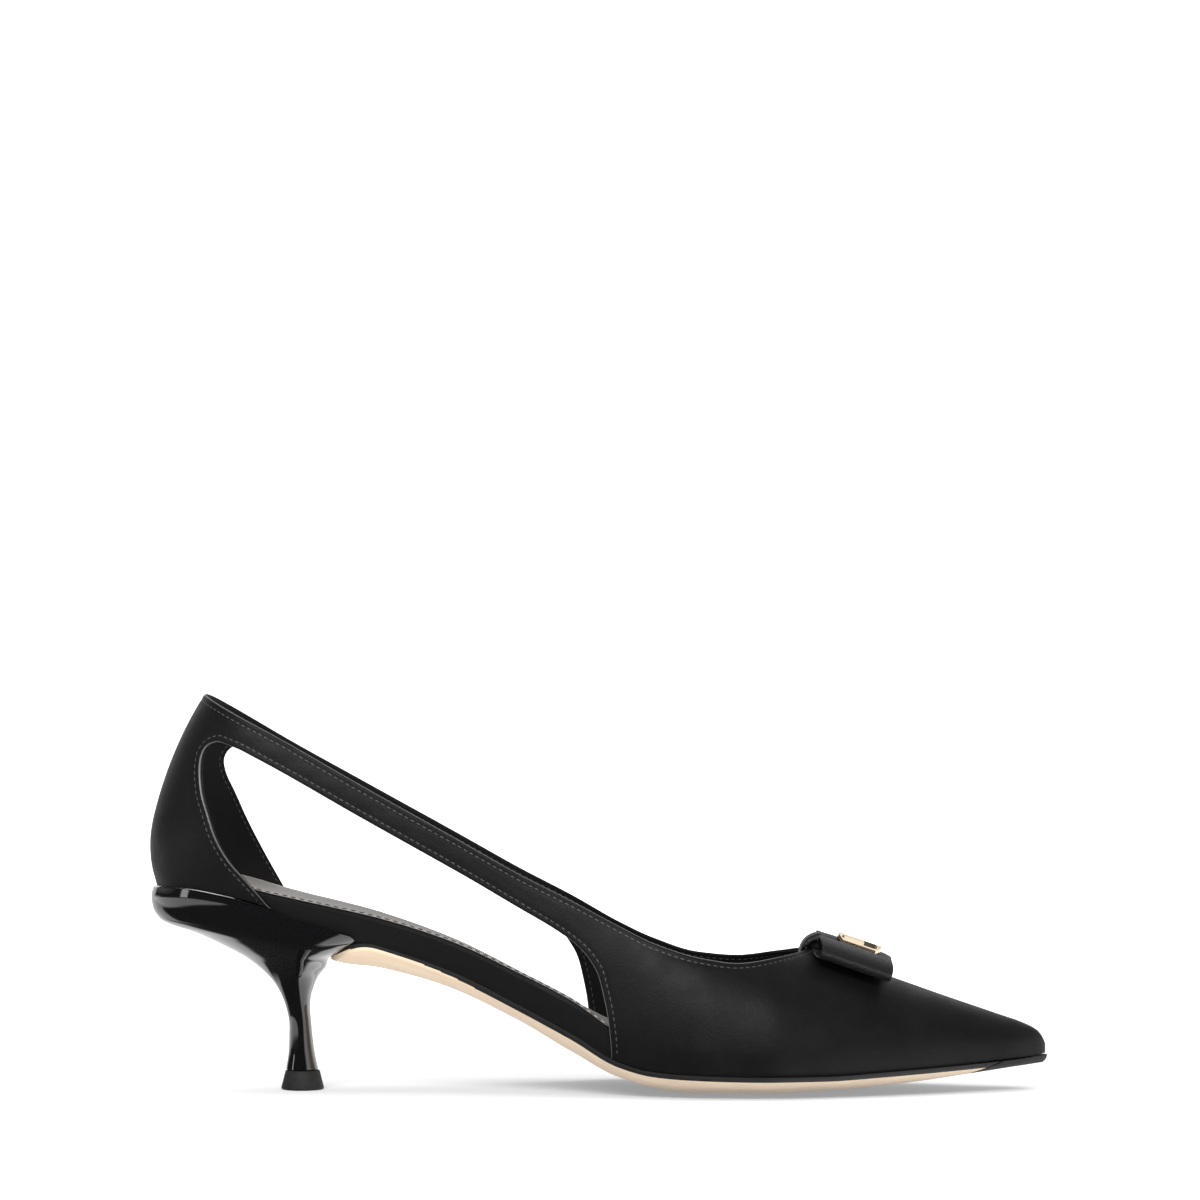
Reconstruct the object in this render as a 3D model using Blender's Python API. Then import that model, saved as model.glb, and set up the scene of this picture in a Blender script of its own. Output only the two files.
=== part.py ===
"""Kitten heel pump, left shoe: pointed toe, open sides, ribbon bow and a sculpted heel.

Tables and sizes are in millimetres. +X points to the toe, +Y to the outer (lateral) side
and +Z up. The shoe stands on Z = 0, with the origin under the middle of its box.
"""
import math
from collections import namedtuple

import bmesh
import bpy
import numpy as np
from mathutils import Vector

# Scale and clearances
MM = 0.001
GAP = 0.3
WELD = 0.03
WALL = 1.5

# Main sizes of the last
SEAT_X = -85.0
TOE_X = 124.0
NOSE_X = 111.0
THROAT_X = 57.5
SEAT_ROUND = 2.2
TUCK_HEIGHT = 7.0
TUCK_FROM = -20.0
TUCK_TO = 20.0
TUCK_SHARE = 0.6
SLIVER = 0.4
CROWN_POWER = 2.5
CAVITY_TOE_X = 120.5
RIM_TURN = 6

# Sides of the shoe: the sign is that of Y
MEDIAL = -1
LATERAL = 1

# Half widths of the last by length: at the sole edge (sole) and at the widest (body)
Girth = namedtuple("Girth", "x sole_in sole_out body_in body_out fullness")
GIRTHS = (
    Girth(-85.0, 24.6, 24.6, 27.0, 27.0, 2.4),
    Girth(-60.0, 22.6, 24.0, 26.8, 27.2, 2.8),
    Girth(-40.0, 21.8, 25.0, 26.8, 28.2, 3.0),
    Girth(-20.0, 23.2, 28.3, 27.6, 30.2, 3.0),
    Girth(0.0, 28.0, 32.3, 30.6, 33.9, 2.8),
    Girth(20.0, 33.2, 35.4, 35.0, 36.8, 2.5),
    Girth(32.0, 35.0, 35.7, 36.6, 37.1, 2.3),
    Girth(45.0, 35.2, 34.6, 36.8, 36.1, 2.2),
    Girth(60.0, 32.3, 30.7, 33.8, 32.2, 2.15),
    Girth(75.0, 27.5, 24.8, 28.9, 26.2, 2.1),
    Girth(90.0, 21.0, 18.2, 22.3, 19.5, 2.0),
    Girth(105.0, 13.7, 11.9, 14.9, 13.1, 2.0),
    Girth(111.0, 10.8, 9.6, 11.9, 10.7, 2.0),
    Girth(124.0, 5.2, 4.9, 6.2, 5.9, 2.0),
)

# Height of the edge where upper and sole meet, and how far the middle hangs below it
Feather = namedtuple("Feather", "x inner outer crown")
FEATHERS = (
    Feather(-125.0, 56.9, 56.9, 0.0),
    Feather(-116.0, 57.0, 57.0, 0.2),
    Feather(-104.0, 55.4, 55.4, 0.8),
    Feather(-94.0, 53.0, 52.8, 2.0),
    Feather(-84.0, 48.9, 48.4, 4.8),
    Feather(-74.0, 45.8, 45.0, 7.0),
    Feather(-60.0, 41.7, 40.3, 4.8),
    Feather(-41.0, 34.9, 32.8, 3.3),
    Feather(-22.0, 25.5, 22.8, 2.8),
    Feather(-8.0, 18.0, 15.0, 3.4),
    Feather(5.0, 10.4, 8.9, 3.3),
    Feather(14.0, 8.0, 7.2, 4.1),
    Feather(24.0, 7.2, 6.8, 4.9),
    Feather(46.0, 6.7, 6.7, 4.8),
    Feather(60.0, 6.7, 6.7, 3.9),
    Feather(80.0, 7.5, 7.5, 3.2),
    Feather(105.0, 8.8, 8.8, 1.2),
    Feather(116.0, 9.5, 9.5, 0.3),
    Feather(125.0, 10.3, 10.3, 0.0),
)

# Line of the instep and vamp ridge; behind the throat it is the last under the foot
Ridge = namedtuple("Ridge", "x z")
RIDGES = (
    Ridge(-85.0, 128.0),
    Ridge(-60.0, 112.0),
    Ridge(-40.0, 98.0),
    Ridge(-20.0, 84.0),
    Ridge(0.0, 70.0),
    Ridge(20.0, 57.0),
    Ridge(38.0, 47.5),
    Ridge(50.0, 42.3),
    Ridge(57.5, 39.5),
    Ridge(81.5, 31.2),
    Ridge(98.0, 25.4),
    Ridge(111.5, 20.8),
    Ridge(118.0, 18.5),
    Ridge(121.9, 16.3),
    Ridge(123.4, 14.2),
    Ridge(124.0, 12.6),
)

# Back curve of the counter, as one section of the last
BACK_BODY = 41.9
BACK_TUCK = 3.6
BACK_HEIGHT = 73.4
BACK_FULLNESS = 1.68
BACK_TUCK_HEIGHT = 19.2

# Topline seen from the side
Topline = namedtuple("Topline", "x inner outer")
TOPLINES = (
    Topline(-120.0, 116.0, 116.0),
    Topline(-109.1, 109.6, 109.6),
    Topline(-100.0, 104.6, 104.0),
    Topline(-90.0, 99.4, 98.0),
    Topline(-66.8, 86.2, 85.0),
    Topline(-40.0, 71.2, 70.1),
    Topline(-23.0, 61.6, 60.5),
    Topline(-8.0, 54.0, 52.6),
    Topline(5.5, 46.9, 44.9),
    Topline(15.0, 42.3, 40.4),
    Topline(28.0, 38.3, 36.4),
    Topline(38.0, 36.9, 35.7),
    Topline(50.0, 38.3, 37.6),
    Topline(57.5, 39.5, 39.5),
)

# Side windows: the strap above them, and their counter and vamp edges by height
STRAP_DROP = 8.9
STRAP_GROWTH = 1.0
STRAP_GROWS_FROM = -36.0
STRAP_GROWS_TO = -13.0
STRAP_FROM = {MEDIAL: -99.0, LATERAL: -95.0}
VAMP_SHIFT = {MEDIAL: 0.0, LATERAL: -5.7}
CORNER_POWER = 4
WINDOW_REACH = (4.0, 60.0)
Edge = namedtuple("Edge", "z x")
OUTER_COUNTER_EDGE = (
    Edge(40.0, -80.8),
    Edge(55.4, -89.7),
    Edge(65.7, -95.7),
    Edge(74.4, -100.3),
    Edge(82.6, -104.0),
    Edge(87.9, -106.4),
    Edge(91.2, -107.0),
    Edge(93.9, -105.9),
    Edge(95.4, -103.7),
)
INNER_COUNTER_EDGE = (
    Edge(40.0, -80.0),
    Edge(52.5, -91.2),
    Edge(60.1, -97.9),
    Edge(64.8, -102.1),
    Edge(71.5, -105.9),
    Edge(77.8, -108.0),
    Edge(84.0, -109.8),
    Edge(90.3, -110.3),
    Edge(94.5, -109.6),
    Edge(96.6, -108.0),
    Edge(97.5, -105.2),
)
VAMP_EDGE = (
    Edge(0.0, 3.4),
    Edge(12.0, 3.1),
    Edge(21.5, 2.2),
    Edge(30.3, 0.4),
    Edge(34.0, -0.7),
    Edge(37.2, -2.6),
    Edge(40.3, -5.2),
    Edge(42.8, -8.4),
    Edge(46.0, -13.6),
)

# Insole board and sock lining: height of the board's rim above the sole edge
Board = namedtuple("Board", "x inner outer")
BOARDS = (
    Board(-125.0, 3.6, 3.6),
    Board(-94.0, 3.4, 2.9),
    Board(-84.0, 5.2, 4.5),
    Board(-60.0, 6.9, 6.3),
    Board(-41.0, 7.6, 6.7),
    Board(-22.0, 8.2, 7.0),
    Board(-8.0, 8.6, 6.9),
    Board(5.0, 7.6, 6.4),
    Board(20.0, 5.2, 4.8),
    Board(50.0, 4.2, 4.2),
    Board(124.0, 2.8, 2.8),
)
BOARD_DISH = 1.2
BOARD_TOE_X = 117.0
BOARD_NOSE = (0.35, 0.65, 0.85, 1.0)
BOARD_BACK_SLIVER = 0.15
SOCK_THICK = 0.7
SOCK_INSET = 0.9
SOCK_TOE_X = 115.0

# Outsole: thickness, edge, rounded tongue at the heel breast, and toe joint
SOLE_GAP = 0.45
SOLE_THICK = 2.2
SOLE_EDGE = 1.5
SOLE_TIP_X = 124.5
SOLE_PROUD = 0.9
SOLE_WAIST_PROUD = -0.5
SOLE_PROUD_FROM = -15.0
SOLE_PROUD_TO = 15.0
TONGUE_X = -75.0
TONGUE_FULL_X = -61.0
TONGUE_CUT_X = -20.0
JOINT_X = 106.5
JOINT_Z = 7.0
JOINT_SLANT = 2.5
JOINT_LOW = -5.0
JOINT_HIGH = 20.0
JOINT_FRONT = 180.0
JOINT_HALF = 40.0

# Heel: sections from the top lift to the seat, each sheared down at the front by the drop
HeelRow = namedtuple("HeelRow", "z back front half front_power")
HEEL_ROWS = (
    HeelRow(5.7, -87.4, -78.5, 4.5, 2.0),
    HeelRow(10.6, -86.7, -79.5, 4.1, 2.0),
    HeelRow(17.6, -86.5, -80.3, 3.9, 2.0),
    HeelRow(23.4, -87.4, -80.7, 4.3, 2.0),
    HeelRow(27.0, -88.5, -80.5, 5.0, 2.0),
    HeelRow(31.0, -90.4, -79.6, 6.5, 2.0),
    HeelRow(34.3, -93.3, -78.5, 8.6, 2.0),
    HeelRow(38.0, -98.2, -76.2, 12.4, 2.2),
    HeelRow(41.0, -104.6, -75.4, 16.4, 2.4),
    HeelRow(43.9, -112.2, -70.0, 20.4, 2.7),
    HeelRow(46.0, -119.3, -66.5, 23.0, 3.0),
    HeelRow(47.7, -122.5, -63.5, 24.2, 3.3),
    HeelRow(51.0, -124.5, -60.0, 25.0, 3.8),
    HeelRow(54.0, -124.9, -59.0, 25.2, 4.0),
    HeelRow(58.0, -123.8, -58.5, 25.1, 4.0),
)
HEEL_SHEAR_FROM = 20.0
HEEL_SEAT_Z = 57.0
HeelDrop = namedtuple("HeelDrop", "x down")
HEEL_DROPS = (
    HeelDrop(-125.0, 0.0),
    HeelDrop(-116.0, 0.05),
    HeelDrop(-104.0, 1.6),
    HeelDrop(-94.0, 4.0),
    HeelDrop(-88.0, 6.3),
    HeelDrop(-80.0, 7.6),
    HeelDrop(-72.0, 7.7),
    HeelDrop(-66.0, 8.3),
    HeelDrop(-58.0, 8.8),
)
STEM_X = -83.0
STEM_TO_SEAT = 1.5
SEAT_BLOCK_X = (-132.0, -50.0)
SEAT_BLOCK_HALF = 29.0
SEAT_BLOCK_HEIGHT = 30.0

# Top lift
LIFT_HEIGHT = 5.4
LIFT_TOP_RADIUS = 4.75
LIFT_FOOT_RADIUS = 5.95
LIFT_X = -82.8

# Bow: its frame lies on the vamp ridge
BOW_X = 70.5
BOW_SPAN = 20.0
BOW_FLAT = 1.3
BOW_PINCH = 3.6
BOW_PUFF = 5.4
BOW_SWELL = 6.0
BOW_LIFT = 0.55
BOW_DROOP = 2.6
RIBBON = 0.9
LOOP_FROM = 7.0
LOOP_SLIT = 0.1
LOOP_PAST = 1.4
LOOP_STEPS = 11
RIBBON_STEPS = 23
RIBBON_STATIONS = 5
FOLD_POWER = 6
LOOP_POWER = 4

# Half lengths of the ribbon along the ridge, by distance from the knot
RibbonEdge = namedtuple("RibbonEdge", "across front rear")
RIBBON_EDGES = (
    RibbonEdge(0.0, 9.0, 9.0),
    RibbonEdge(5.5, 9.05, 9.05),
    RibbonEdge(8.5, 9.2, 12.0),
    RibbonEdge(12.0, 9.5, 11.9),
    RibbonEdge(20.0, 9.9, 10.3),
)

# Knot band: outer and under face by place along the ridge (run) and height above it (rise)
KNOT_HALF_WIDTH = 5.0
KNOT_EDGE = 0.3
KNOT_STEPS = 2
KNOT_BRIDGE = 4.5
KNOT_SHARES = (-1.0, -0.9, -0.55, 0.0, 0.55, 0.9, 1.0)
KnotRow = namedtuple("KnotRow", "run rise under_run under_rise")
KNOT_ROWS = (
    KnotRow(10.6, 1.2, 9.5, 1.4),
    KnotRow(10.8, 2.8, 9.7, 2.8),
    KnotRow(10.4, 4.5, 9.6, 4.1),
    KnotRow(8.9, 5.6, 8.8, 4.6),
    KnotRow(0.0, 5.6, 0.0, 4.5),
    KnotRow(-8.0, 5.7, -8.0, 4.6),
    KnotRow(-10.2, 5.6, -9.6, 4.3),
    KnotRow(-11.6, 5.3, -10.1, 0.9),
    KnotRow(-12.9, 4.8, -11.5, 0.45),
    KnotRow(-14.2, 3.7, -13.2, 0.55),
    KnotRow(-15.2, 2.2, -14.3, 0.7),
    KnotRow(-15.7, 0.1, -14.7, 0.1),
    KnotRow(-15.4, -1.9, -14.4, -1.8),
)

# Bar plate on the knot
PLATE_LENGTH = 12.4
PLATE_WIDTH = 8.6
PLATE_THICK = 1.0
PLATE_CHAMFER = 1.4
PLATE_RUN = -0.3
PLATE_RISE = 6.05
PLATE_BEND = 1.5
PLATE_BEND_POWER = 3
PLATE_POINTS = 7
SLOT_LENGTH = 3.5
SLOT_WIDTH = 2.6
SLOT_RUN = 2.6
SLOT_Y = -1.2
SLOT_DEPTH = 4.0
RIVET_RADIUS = 0.55
RivetRing = namedtuple("RivetRing", "rise share")
RIVET_RINGS = (RivetRing(-0.4, 1.0), RivetRing(0.18, 1.0), RivetRing(0.35, 0.6))

# Number of divisions
WALL_ROWS = 10
ROW_BIAS = 1.3
FAN_COLUMNS = 18
STRAP_COLUMNS = 15
VAMP_COLUMNS = 10
TIP_COLUMNS = 6
THROAT_DROPS = (19.0, 14.5, 10.5, 7.0, 4.2, 2.2, 0.9, 0.0)
SLAB_POINTS = 9
SOCK_POINTS = 7
SLAB_STATIONS = 22
SOLE_STATIONS = 26
TURN_STATIONS = 7
HEEL_STATIONS = 10
SEAT_STATIONS = 28
SEAT_POINTS = 19
HEEL_POINTS = 28
LIFT_POINTS = 32
RIVET_POINTS = 10
WINDOW_STEPS = 20
SHARP_ANGLE = 35.0
TIP_TURN = math.radians(85.0)
SOLE_TURN = math.radians(87.0)


def curve(rows, key, column):
    """A smooth curve through a table's rows that never overshoots between them."""
    xs = np.array([getattr(row, key) for row in rows])
    ys = np.array([getattr(row, column) for row in rows])
    steps = np.diff(xs)
    slopes = np.diff(ys) / steps
    ends = np.zeros(len(xs))
    ends[0] = slopes[0]
    ends[-1] = slopes[-1]
    for i in range(1, len(xs) - 1):
        if slopes[i - 1] * slopes[i] > 0.0:
            before = 2.0 * steps[i] + steps[i - 1]
            after = steps[i] + 2.0 * steps[i - 1]
            ends[i] = (before + after) / (before / slopes[i - 1] + after / slopes[i])

    def at(x):
        i = int(np.clip(np.searchsorted(xs, x) - 1, 0, len(steps) - 1))
        t = float(np.clip((x - xs[i]) / steps[i], 0.0, 1.0))
        rise = ys[i] * (1 + 2 * t) * (1 - t) ** 2 + ys[i + 1] * t * t * (3 - 2 * t)
        bend = ends[i] * t * (1 - t) ** 2 - ends[i + 1] * t * t * (1 - t)
        return float(rise + steps[i] * bend)

    return at


def by_side(rows, inner, outer):
    """A pair of curves over x, one for each side of the shoe."""
    return {MEDIAL: curve(rows, "x", inner), LATERAL: curve(rows, "x", outer)}


sole_width = by_side(GIRTHS, "sole_in", "sole_out")
body_width = by_side(GIRTHS, "body_in", "body_out")
fullness = curve(GIRTHS, "x", "fullness")
feather_height = by_side(FEATHERS, "inner", "outer")
crown = curve(FEATHERS, "x", "crown")
ridge_height = curve(RIDGES, "x", "z")
topline_height = by_side(TOPLINES, "inner", "outer")
board_edge = by_side(BOARDS, "inner", "outer")
heel_drop = curve(HEEL_DROPS, "x", "down")
ribbon_front = curve(RIBBON_EDGES, "across", "front")
ribbon_rear = curve(RIBBON_EDGES, "across", "rear")


def blend(a, b, share):
    return a + (b - a) * share


def nose(x, tip):
    """Share of the taper's width that is left as the toe rounds off."""
    run = (x - NOSE_X) / (tip - NOSE_X)
    return math.sqrt(max(0.0, 1.0 - max(0.0, run) ** 2))


def arch(body, height, power, tuck, tuck_height, up):
    """Reach of one section of the last, up millimetres above the sole edge."""
    share = min(1.0, max(0.0, up / height))
    below = max(0.0, 1.0 - up / tuck_height)
    return body * (1.0 - share ** power) ** (1.0 / power) - tuck * below * below


def side_reach(x, side, up, inset):
    """Half width of the last at x, up above the sole edge, less the inset."""
    round_off = nose(x, TOE_X)
    body = body_width[side](x) * round_off
    tuck = body - sole_width[side](x) * round_off
    height = ridge_height(x) - feather_height[side](x) - inset
    front = min(1.0, max(0.0, (x - TUCK_FROM) / (TUCK_TO - TUCK_FROM)))
    tuck_height = min(blend(BACK_TUCK_HEIGHT, TUCK_HEIGHT, front), TUCK_SHARE * height)
    return arch(max(body - inset, SLIVER), max(height, SLIVER), fullness(x), tuck, tuck_height, up)


def back_reach(up, inset):
    """Reach of the counter's middle section behind the seat's centre."""
    return arch(BACK_BODY - inset, BACK_HEIGHT, BACK_FULLNESS, BACK_TUCK, BACK_TUCK_HEIGHT, up)


def half_width(x, side, up=0.0, inset=0.0):
    """Half width at x, with the round of the heel behind the seat's centre."""
    if x >= SEAT_X:
        return side_reach(x, side, up, inset)
    run = min(1.0, (SEAT_X - x) / back_reach(up, inset))
    return side_reach(SEAT_X, side, up, inset) * (1.0 - run ** SEAT_ROUND) ** (1.0 / SEAT_ROUND)


def wall_point(place, side, up, inset=0.0):
    """Point of the upper: place 0 to 1 turns round the heel, then place is 1 + x from the seat."""
    if place >= 1.0:
        x = SEAT_X + place - 1.0
        return Vector((x, side * side_reach(x, side, up, inset), feather_height[side](x) + up))
    turn = place * math.pi / 2.0
    along = math.cos(turn)
    across = math.sin(turn)

    def radius(rise):
        back = along / back_reach(rise, inset)
        flank = across / side_reach(SEAT_X, side, rise, inset)
        return (back ** SEAT_ROUND + flank ** SEAT_ROUND) ** (-1.0 / SEAT_ROUND)

    foot_x = SEAT_X - radius(0.0) * along
    reach = radius(up)
    return Vector((SEAT_X - reach * along, side * reach * across, feather_height[side](foot_x) + up))


def full_height(place, side, inset):
    """Height of the ridge above the sole edge at a place."""
    if place >= 1.0:
        x = SEAT_X + place - 1.0
        return ridge_height(x) - feather_height[side](x) - inset
    return BACK_HEIGHT - inset


def topline_up(place, side):
    """Height above the sole edge where the wall ends: at the topline, or at the ridge."""
    low, high = 0.0, full_height(place, side, 0.0)
    if SEAT_X + place - 1.0 >= THROAT_X:
        return high
    for _ in range(40):
        middle = (low + high) / 2.0
        point = wall_point(place, side, middle)
        if point.z < topline_height[side](point.x):
            low = middle
        else:
            high = middle
    return low


def lining_up(place, side):
    """Height where the inner face ends: level with the topline, and under the ridge in front."""
    top = topline_up(place, side)
    share = top / full_height(place, side, 0.0)
    return top - WALL * share ** RIM_TURN


def seat(x, y):
    """Height of the surface between the foot and the sole: insole, heel and sole share it."""
    side = MEDIAL if y < 0.0 else LATERAL
    share = min(1.0, abs(y) / max(half_width(x, side), 0.1)) * side
    edge = blend(feather_height[MEDIAL](x), feather_height[LATERAL](x), (share + 1.0) / 2.0)
    return edge - crown(x) * (1.0 - abs(share) ** CROWN_POWER)


def material(name, colour, roughness, metallic=0.0, coat=0.0):
    made = bpy.data.materials.new(name)
    made.use_nodes = True
    made.diffuse_color = (*colour, 1.0)
    shader = made.node_tree.nodes["Principled BSDF"]
    shader.inputs["Base Color"].default_value = (*colour, 1.0)
    shader.inputs["Roughness"].default_value = roughness
    shader.inputs["Metallic"].default_value = metallic
    shader.inputs["Coat Weight"].default_value = coat
    return made


def mesh_object(name, points, faces, collection):
    """A closed object from points in millimetres, welded, with its faces pointing out."""
    mesh = bpy.data.meshes.new(name)
    mesh.from_pydata([tuple(c * MM for c in p) for p in points], [], faces)
    work = bmesh.new()
    work.from_mesh(mesh)
    bmesh.ops.remove_doubles(work, verts=work.verts, dist=WELD * MM)
    bmesh.ops.dissolve_degenerate(work, edges=work.edges, dist=WELD * MM)
    bmesh.ops.recalc_face_normals(work, faces=work.faces)
    work.to_mesh(mesh)
    work.free()
    mesh.shade_smooth()
    mesh.set_sharp_from_angle(angle=math.radians(SHARP_ANGLE))
    made = bpy.data.objects.new(name, mesh)
    collection.objects.link(made)
    return made


def loft(name, rings, collection, folded=False):
    """A closed solid through rings of points; the caps of a folded one run between its two halves."""
    count = len(rings[0])
    points = [p for ring in rings for p in ring]
    faces = []
    for i in range(len(rings) - 1):
        for j in range(count):
            k = (j + 1) % count
            faces.append((i * count + j, i * count + k, (i + 1) * count + k, (i + 1) * count + j))
    for first in (0, (len(rings) - 1) * count):
        if not folded:
            faces.append(tuple(range(first, first + count)))
            continue
        for j in range(count // 2):
            corners = (j, j + 1, count - j - 1, (count - j) % count)
            faces.append(tuple(first + corner for corner in dict.fromkeys(corners)))
    return mesh_object(name, points, faces, collection)


def slab(name, stations, half, top, bottom, collection, count=SLAB_POINTS):
    """A solid between two height surfaces, in sections across the shoe at the stations."""
    shares = np.sin(np.linspace(-math.pi / 2.0, math.pi / 2.0, count))
    rings = []
    for x in stations:
        under = []
        over = []
        for share in shares:
            side = MEDIAL if share < 0.0 else LATERAL
            y_low = share * half(x, side, 0)
            y_high = share * half(x, side, 1)
            under.append((x, y_low, bottom(x, y_low)))
            over.append((x, y_high, top(x, y_high)))
        rings.append(under + over[::-1])
    return loft(name, rings, collection)


def circle(x, y, z, radius, count):
    turns = np.linspace(0.0, 2.0 * math.pi, count, endpoint=False)
    return [(x + radius * math.cos(turn), y + radius * math.sin(turn), z) for turn in turns]


def prism(name, outline, y_from, y_to, collection):
    """A solid with an outline in the side view, from y_from to y_to."""
    rings = [[(x, y, z) for x, z in outline] for y in (y_from, y_to)]
    return loft(name, rings, collection)


def cut(target, cutter, operation="DIFFERENCE"):
    step = target.modifiers.new(cutter.name, "BOOLEAN")
    step.object = cutter
    step.operation = operation
    step.solver = "EXACT"


def finish(made, finish_material):
    made.data.materials.clear()
    made.data.materials.append(finish_material)


def upper_places():
    """Columns of the upper: round the heel, along the straps, then down the vamp to the toe."""
    fan = list(np.linspace(0.0, 1.0, FAN_COLUMNS + 1))
    throat = [THROAT_X - drop for drop in THROAT_DROPS]
    strap = list(np.linspace(SEAT_X, throat[0], STRAP_COLUMNS + 1))[1:-1]
    vamp = list(np.linspace(THROAT_X, NOSE_X, VAMP_COLUMNS + 1))[1:]
    turns = np.linspace(0.0, TIP_TURN, TIP_COLUMNS + 1)[1:]
    tip = [blend(NOSE_X, TOE_X, math.sin(turn)) for turn in turns]
    return fan + [1.0 + x - SEAT_X for x in strap + throat + vamp + tip]


def cavity_place(place):
    """Place on the inner face that backs a place on the outer one: it stops short of the toe."""
    length = TOE_X - SEAT_X
    run = max(0.0, place - 1.0) / length
    return place - (TOE_X - CAVITY_TOE_X) * run ** 6


def build_upper(parts, cutters):
    """Counter, straps and vamp as one wall, with a window cut in each side."""
    places = upper_places()
    points = []
    faces = []
    grids = {}
    for side in (MEDIAL, LATERAL):
        for inset in (0.0, WALL):
            grid = []
            for place in places:
                spot = place if inset == 0.0 else cavity_place(place)
                height = full_height(spot, side, inset)
                top = topline_up(place, side) if inset == 0.0 else lining_up(place, side)
                if SEAT_X + place - 1.0 >= THROAT_X:
                    top = height
                power = fullness(SEAT_X + spot - 1.0)
                last_angle = math.asin(min(1.0, top / height) ** (power / 2.0))
                column = []
                for row in range(WALL_ROWS + 1):
                    share = math.sin(last_angle * (row / WALL_ROWS) ** ROW_BIAS) ** (2.0 / power)
                    up = min(share * height, top)
                    column.append(len(points))
                    point = wall_point(spot, side, up, inset)
                    if row == WALL_ROWS and SEAT_X + place - 1.0 >= THROAT_X:
                        point.y = 0.0
                    points.append(point)
                grid.append(column)
            grids[side, inset] = grid
    for side in (MEDIAL, LATERAL):
        outer = grids[side, 0.0]
        inner = grids[side, WALL]
        for i in range(len(places) - 1):
            for j in range(WALL_ROWS):
                faces.append((outer[i][j], outer[i + 1][j], outer[i + 1][j + 1], outer[i][j + 1]))
                faces.append((inner[i][j], inner[i][j + 1], inner[i + 1][j + 1], inner[i + 1][j]))
            faces.append((outer[i][0], inner[i][0], inner[i + 1][0], outer[i + 1][0]))
            if SEAT_X + places[i] - 1.0 < THROAT_X - WELD:
                faces.append((outer[i][-1], outer[i + 1][-1], inner[i + 1][-1], inner[i][-1]))
    for inset in (0.0, WALL):
        faces.append(tuple(grids[MEDIAL, inset][-1] + grids[LATERAL, inset][-1][::-1]))
    faces.append((
        grids[MEDIAL, 0.0][-1][0], grids[LATERAL, 0.0][-1][0],
        grids[LATERAL, WALL][-1][0], grids[MEDIAL, WALL][-1][0],
    ))
    upper = mesh_object("upper", points, faces, parts)
    for side, label in ((MEDIAL, "inner"), (LATERAL, "outer")):
        near, far = (side * reach for reach in WINDOW_REACH)
        cut(upper, prism(label + "_window", window_outline(side), near, far, cutters))
    return upper


def strap_bottom(x, side):
    """Lower edge of the strap: it widens toward the vamp."""
    share = min(1.0, max(0.0, (x - STRAP_GROWS_FROM) / (STRAP_GROWS_TO - STRAP_GROWS_FROM)))
    return topline_height[side](x) - STRAP_DROP - STRAP_GROWTH * share * share


def window_outline(side):
    """Window in the side view: up the counter edge, along the strap, and down the vamp edge."""
    counter = INNER_COUNTER_EDGE if side == MEDIAL else OUTER_COUNTER_EDGE
    counter_x = curve(counter, "z", "x")
    vamp_x = curve(VAMP_EDGE, "z", "x")
    outline = []
    for z in np.linspace(counter[0].z, counter[-2].z, WINDOW_STEPS):
        outline.append((counter_x(z), z))
    outline.append((counter[-1].x, counter[-1].z))
    corner_x = VAMP_EDGE[-1].x + VAMP_SHIFT[side]
    for x in np.linspace(STRAP_FROM[side], corner_x, WINDOW_STEPS)[:-1]:
        outline.append((x, strap_bottom(x, side)))
    lift = strap_bottom(corner_x, side) - VAMP_EDGE[-1].z
    for z in np.linspace(VAMP_EDGE[-1].z, VAMP_EDGE[0].z, WINDOW_STEPS):
        share = (z / VAMP_EDGE[-1].z) ** CORNER_POWER
        outline.append((vamp_x(z) + VAMP_SHIFT[side], z + lift * share))
    return outline


def foot_stations(back, toe):
    """Stations along the foot, closer together where the heel and the toe round off."""
    turns = np.linspace(math.pi / 2.0, 0.0, HEEL_STATIONS)
    heel = [blend(SEAT_X, back, math.sin(turn)) for turn in turns]
    middle = list(np.linspace(SEAT_X, NOSE_X, SLAB_STATIONS))[1:]
    front = [blend(NOSE_X, toe, share) for share in BOARD_NOSE]
    return heel + middle + front


def build_insole(parts):
    """Wrapped board with a dished top; its edge follows the inside of the upper."""
    inset = WALL + GAP

    def half(x, side, level):
        return max(SLIVER, half_width(x, side, board_edge[side](x) * level, inset))

    back = SEAT_X - back_reach(0.0, inset) + BOARD_BACK_SLIVER
    return slab("insole", foot_stations(back, BOARD_TOE_X), half, board_top, seat, parts)


def board_rim(x, side):
    """Height of the board's top edge."""
    return feather_height[side](x) + board_edge[side](x)


def board_top(x, y):
    side = MEDIAL if y < 0.0 else LATERAL
    share = min(1.0, abs(y) / half_width(x, side, board_edge[side](x), WALL + GAP)) * side
    edge = blend(board_rim(x, MEDIAL), board_rim(x, LATERAL), (share + 1.0) / 2.0)
    return edge - BOARD_DISH * (1.0 - share * share)


def build_sock(parts):
    """Thin leather sheet on the board, a little inside its edge."""
    inset = WALL + GAP + SOCK_INSET

    def half(x, side, level):
        return max(SLIVER, half_width(x, side, board_edge[side](x), inset))

    back = SEAT_X - back_reach(BOARDS[0].inner, inset) + BOARD_BACK_SLIVER
    return slab(
        "sock", foot_stations(back, SOCK_TOE_X), half,
        lambda x, y: board_top(x, y) + GAP + SOCK_THICK,
        lambda x, y: board_top(x, y) + GAP, parts, SOCK_POINTS,
    )


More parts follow.
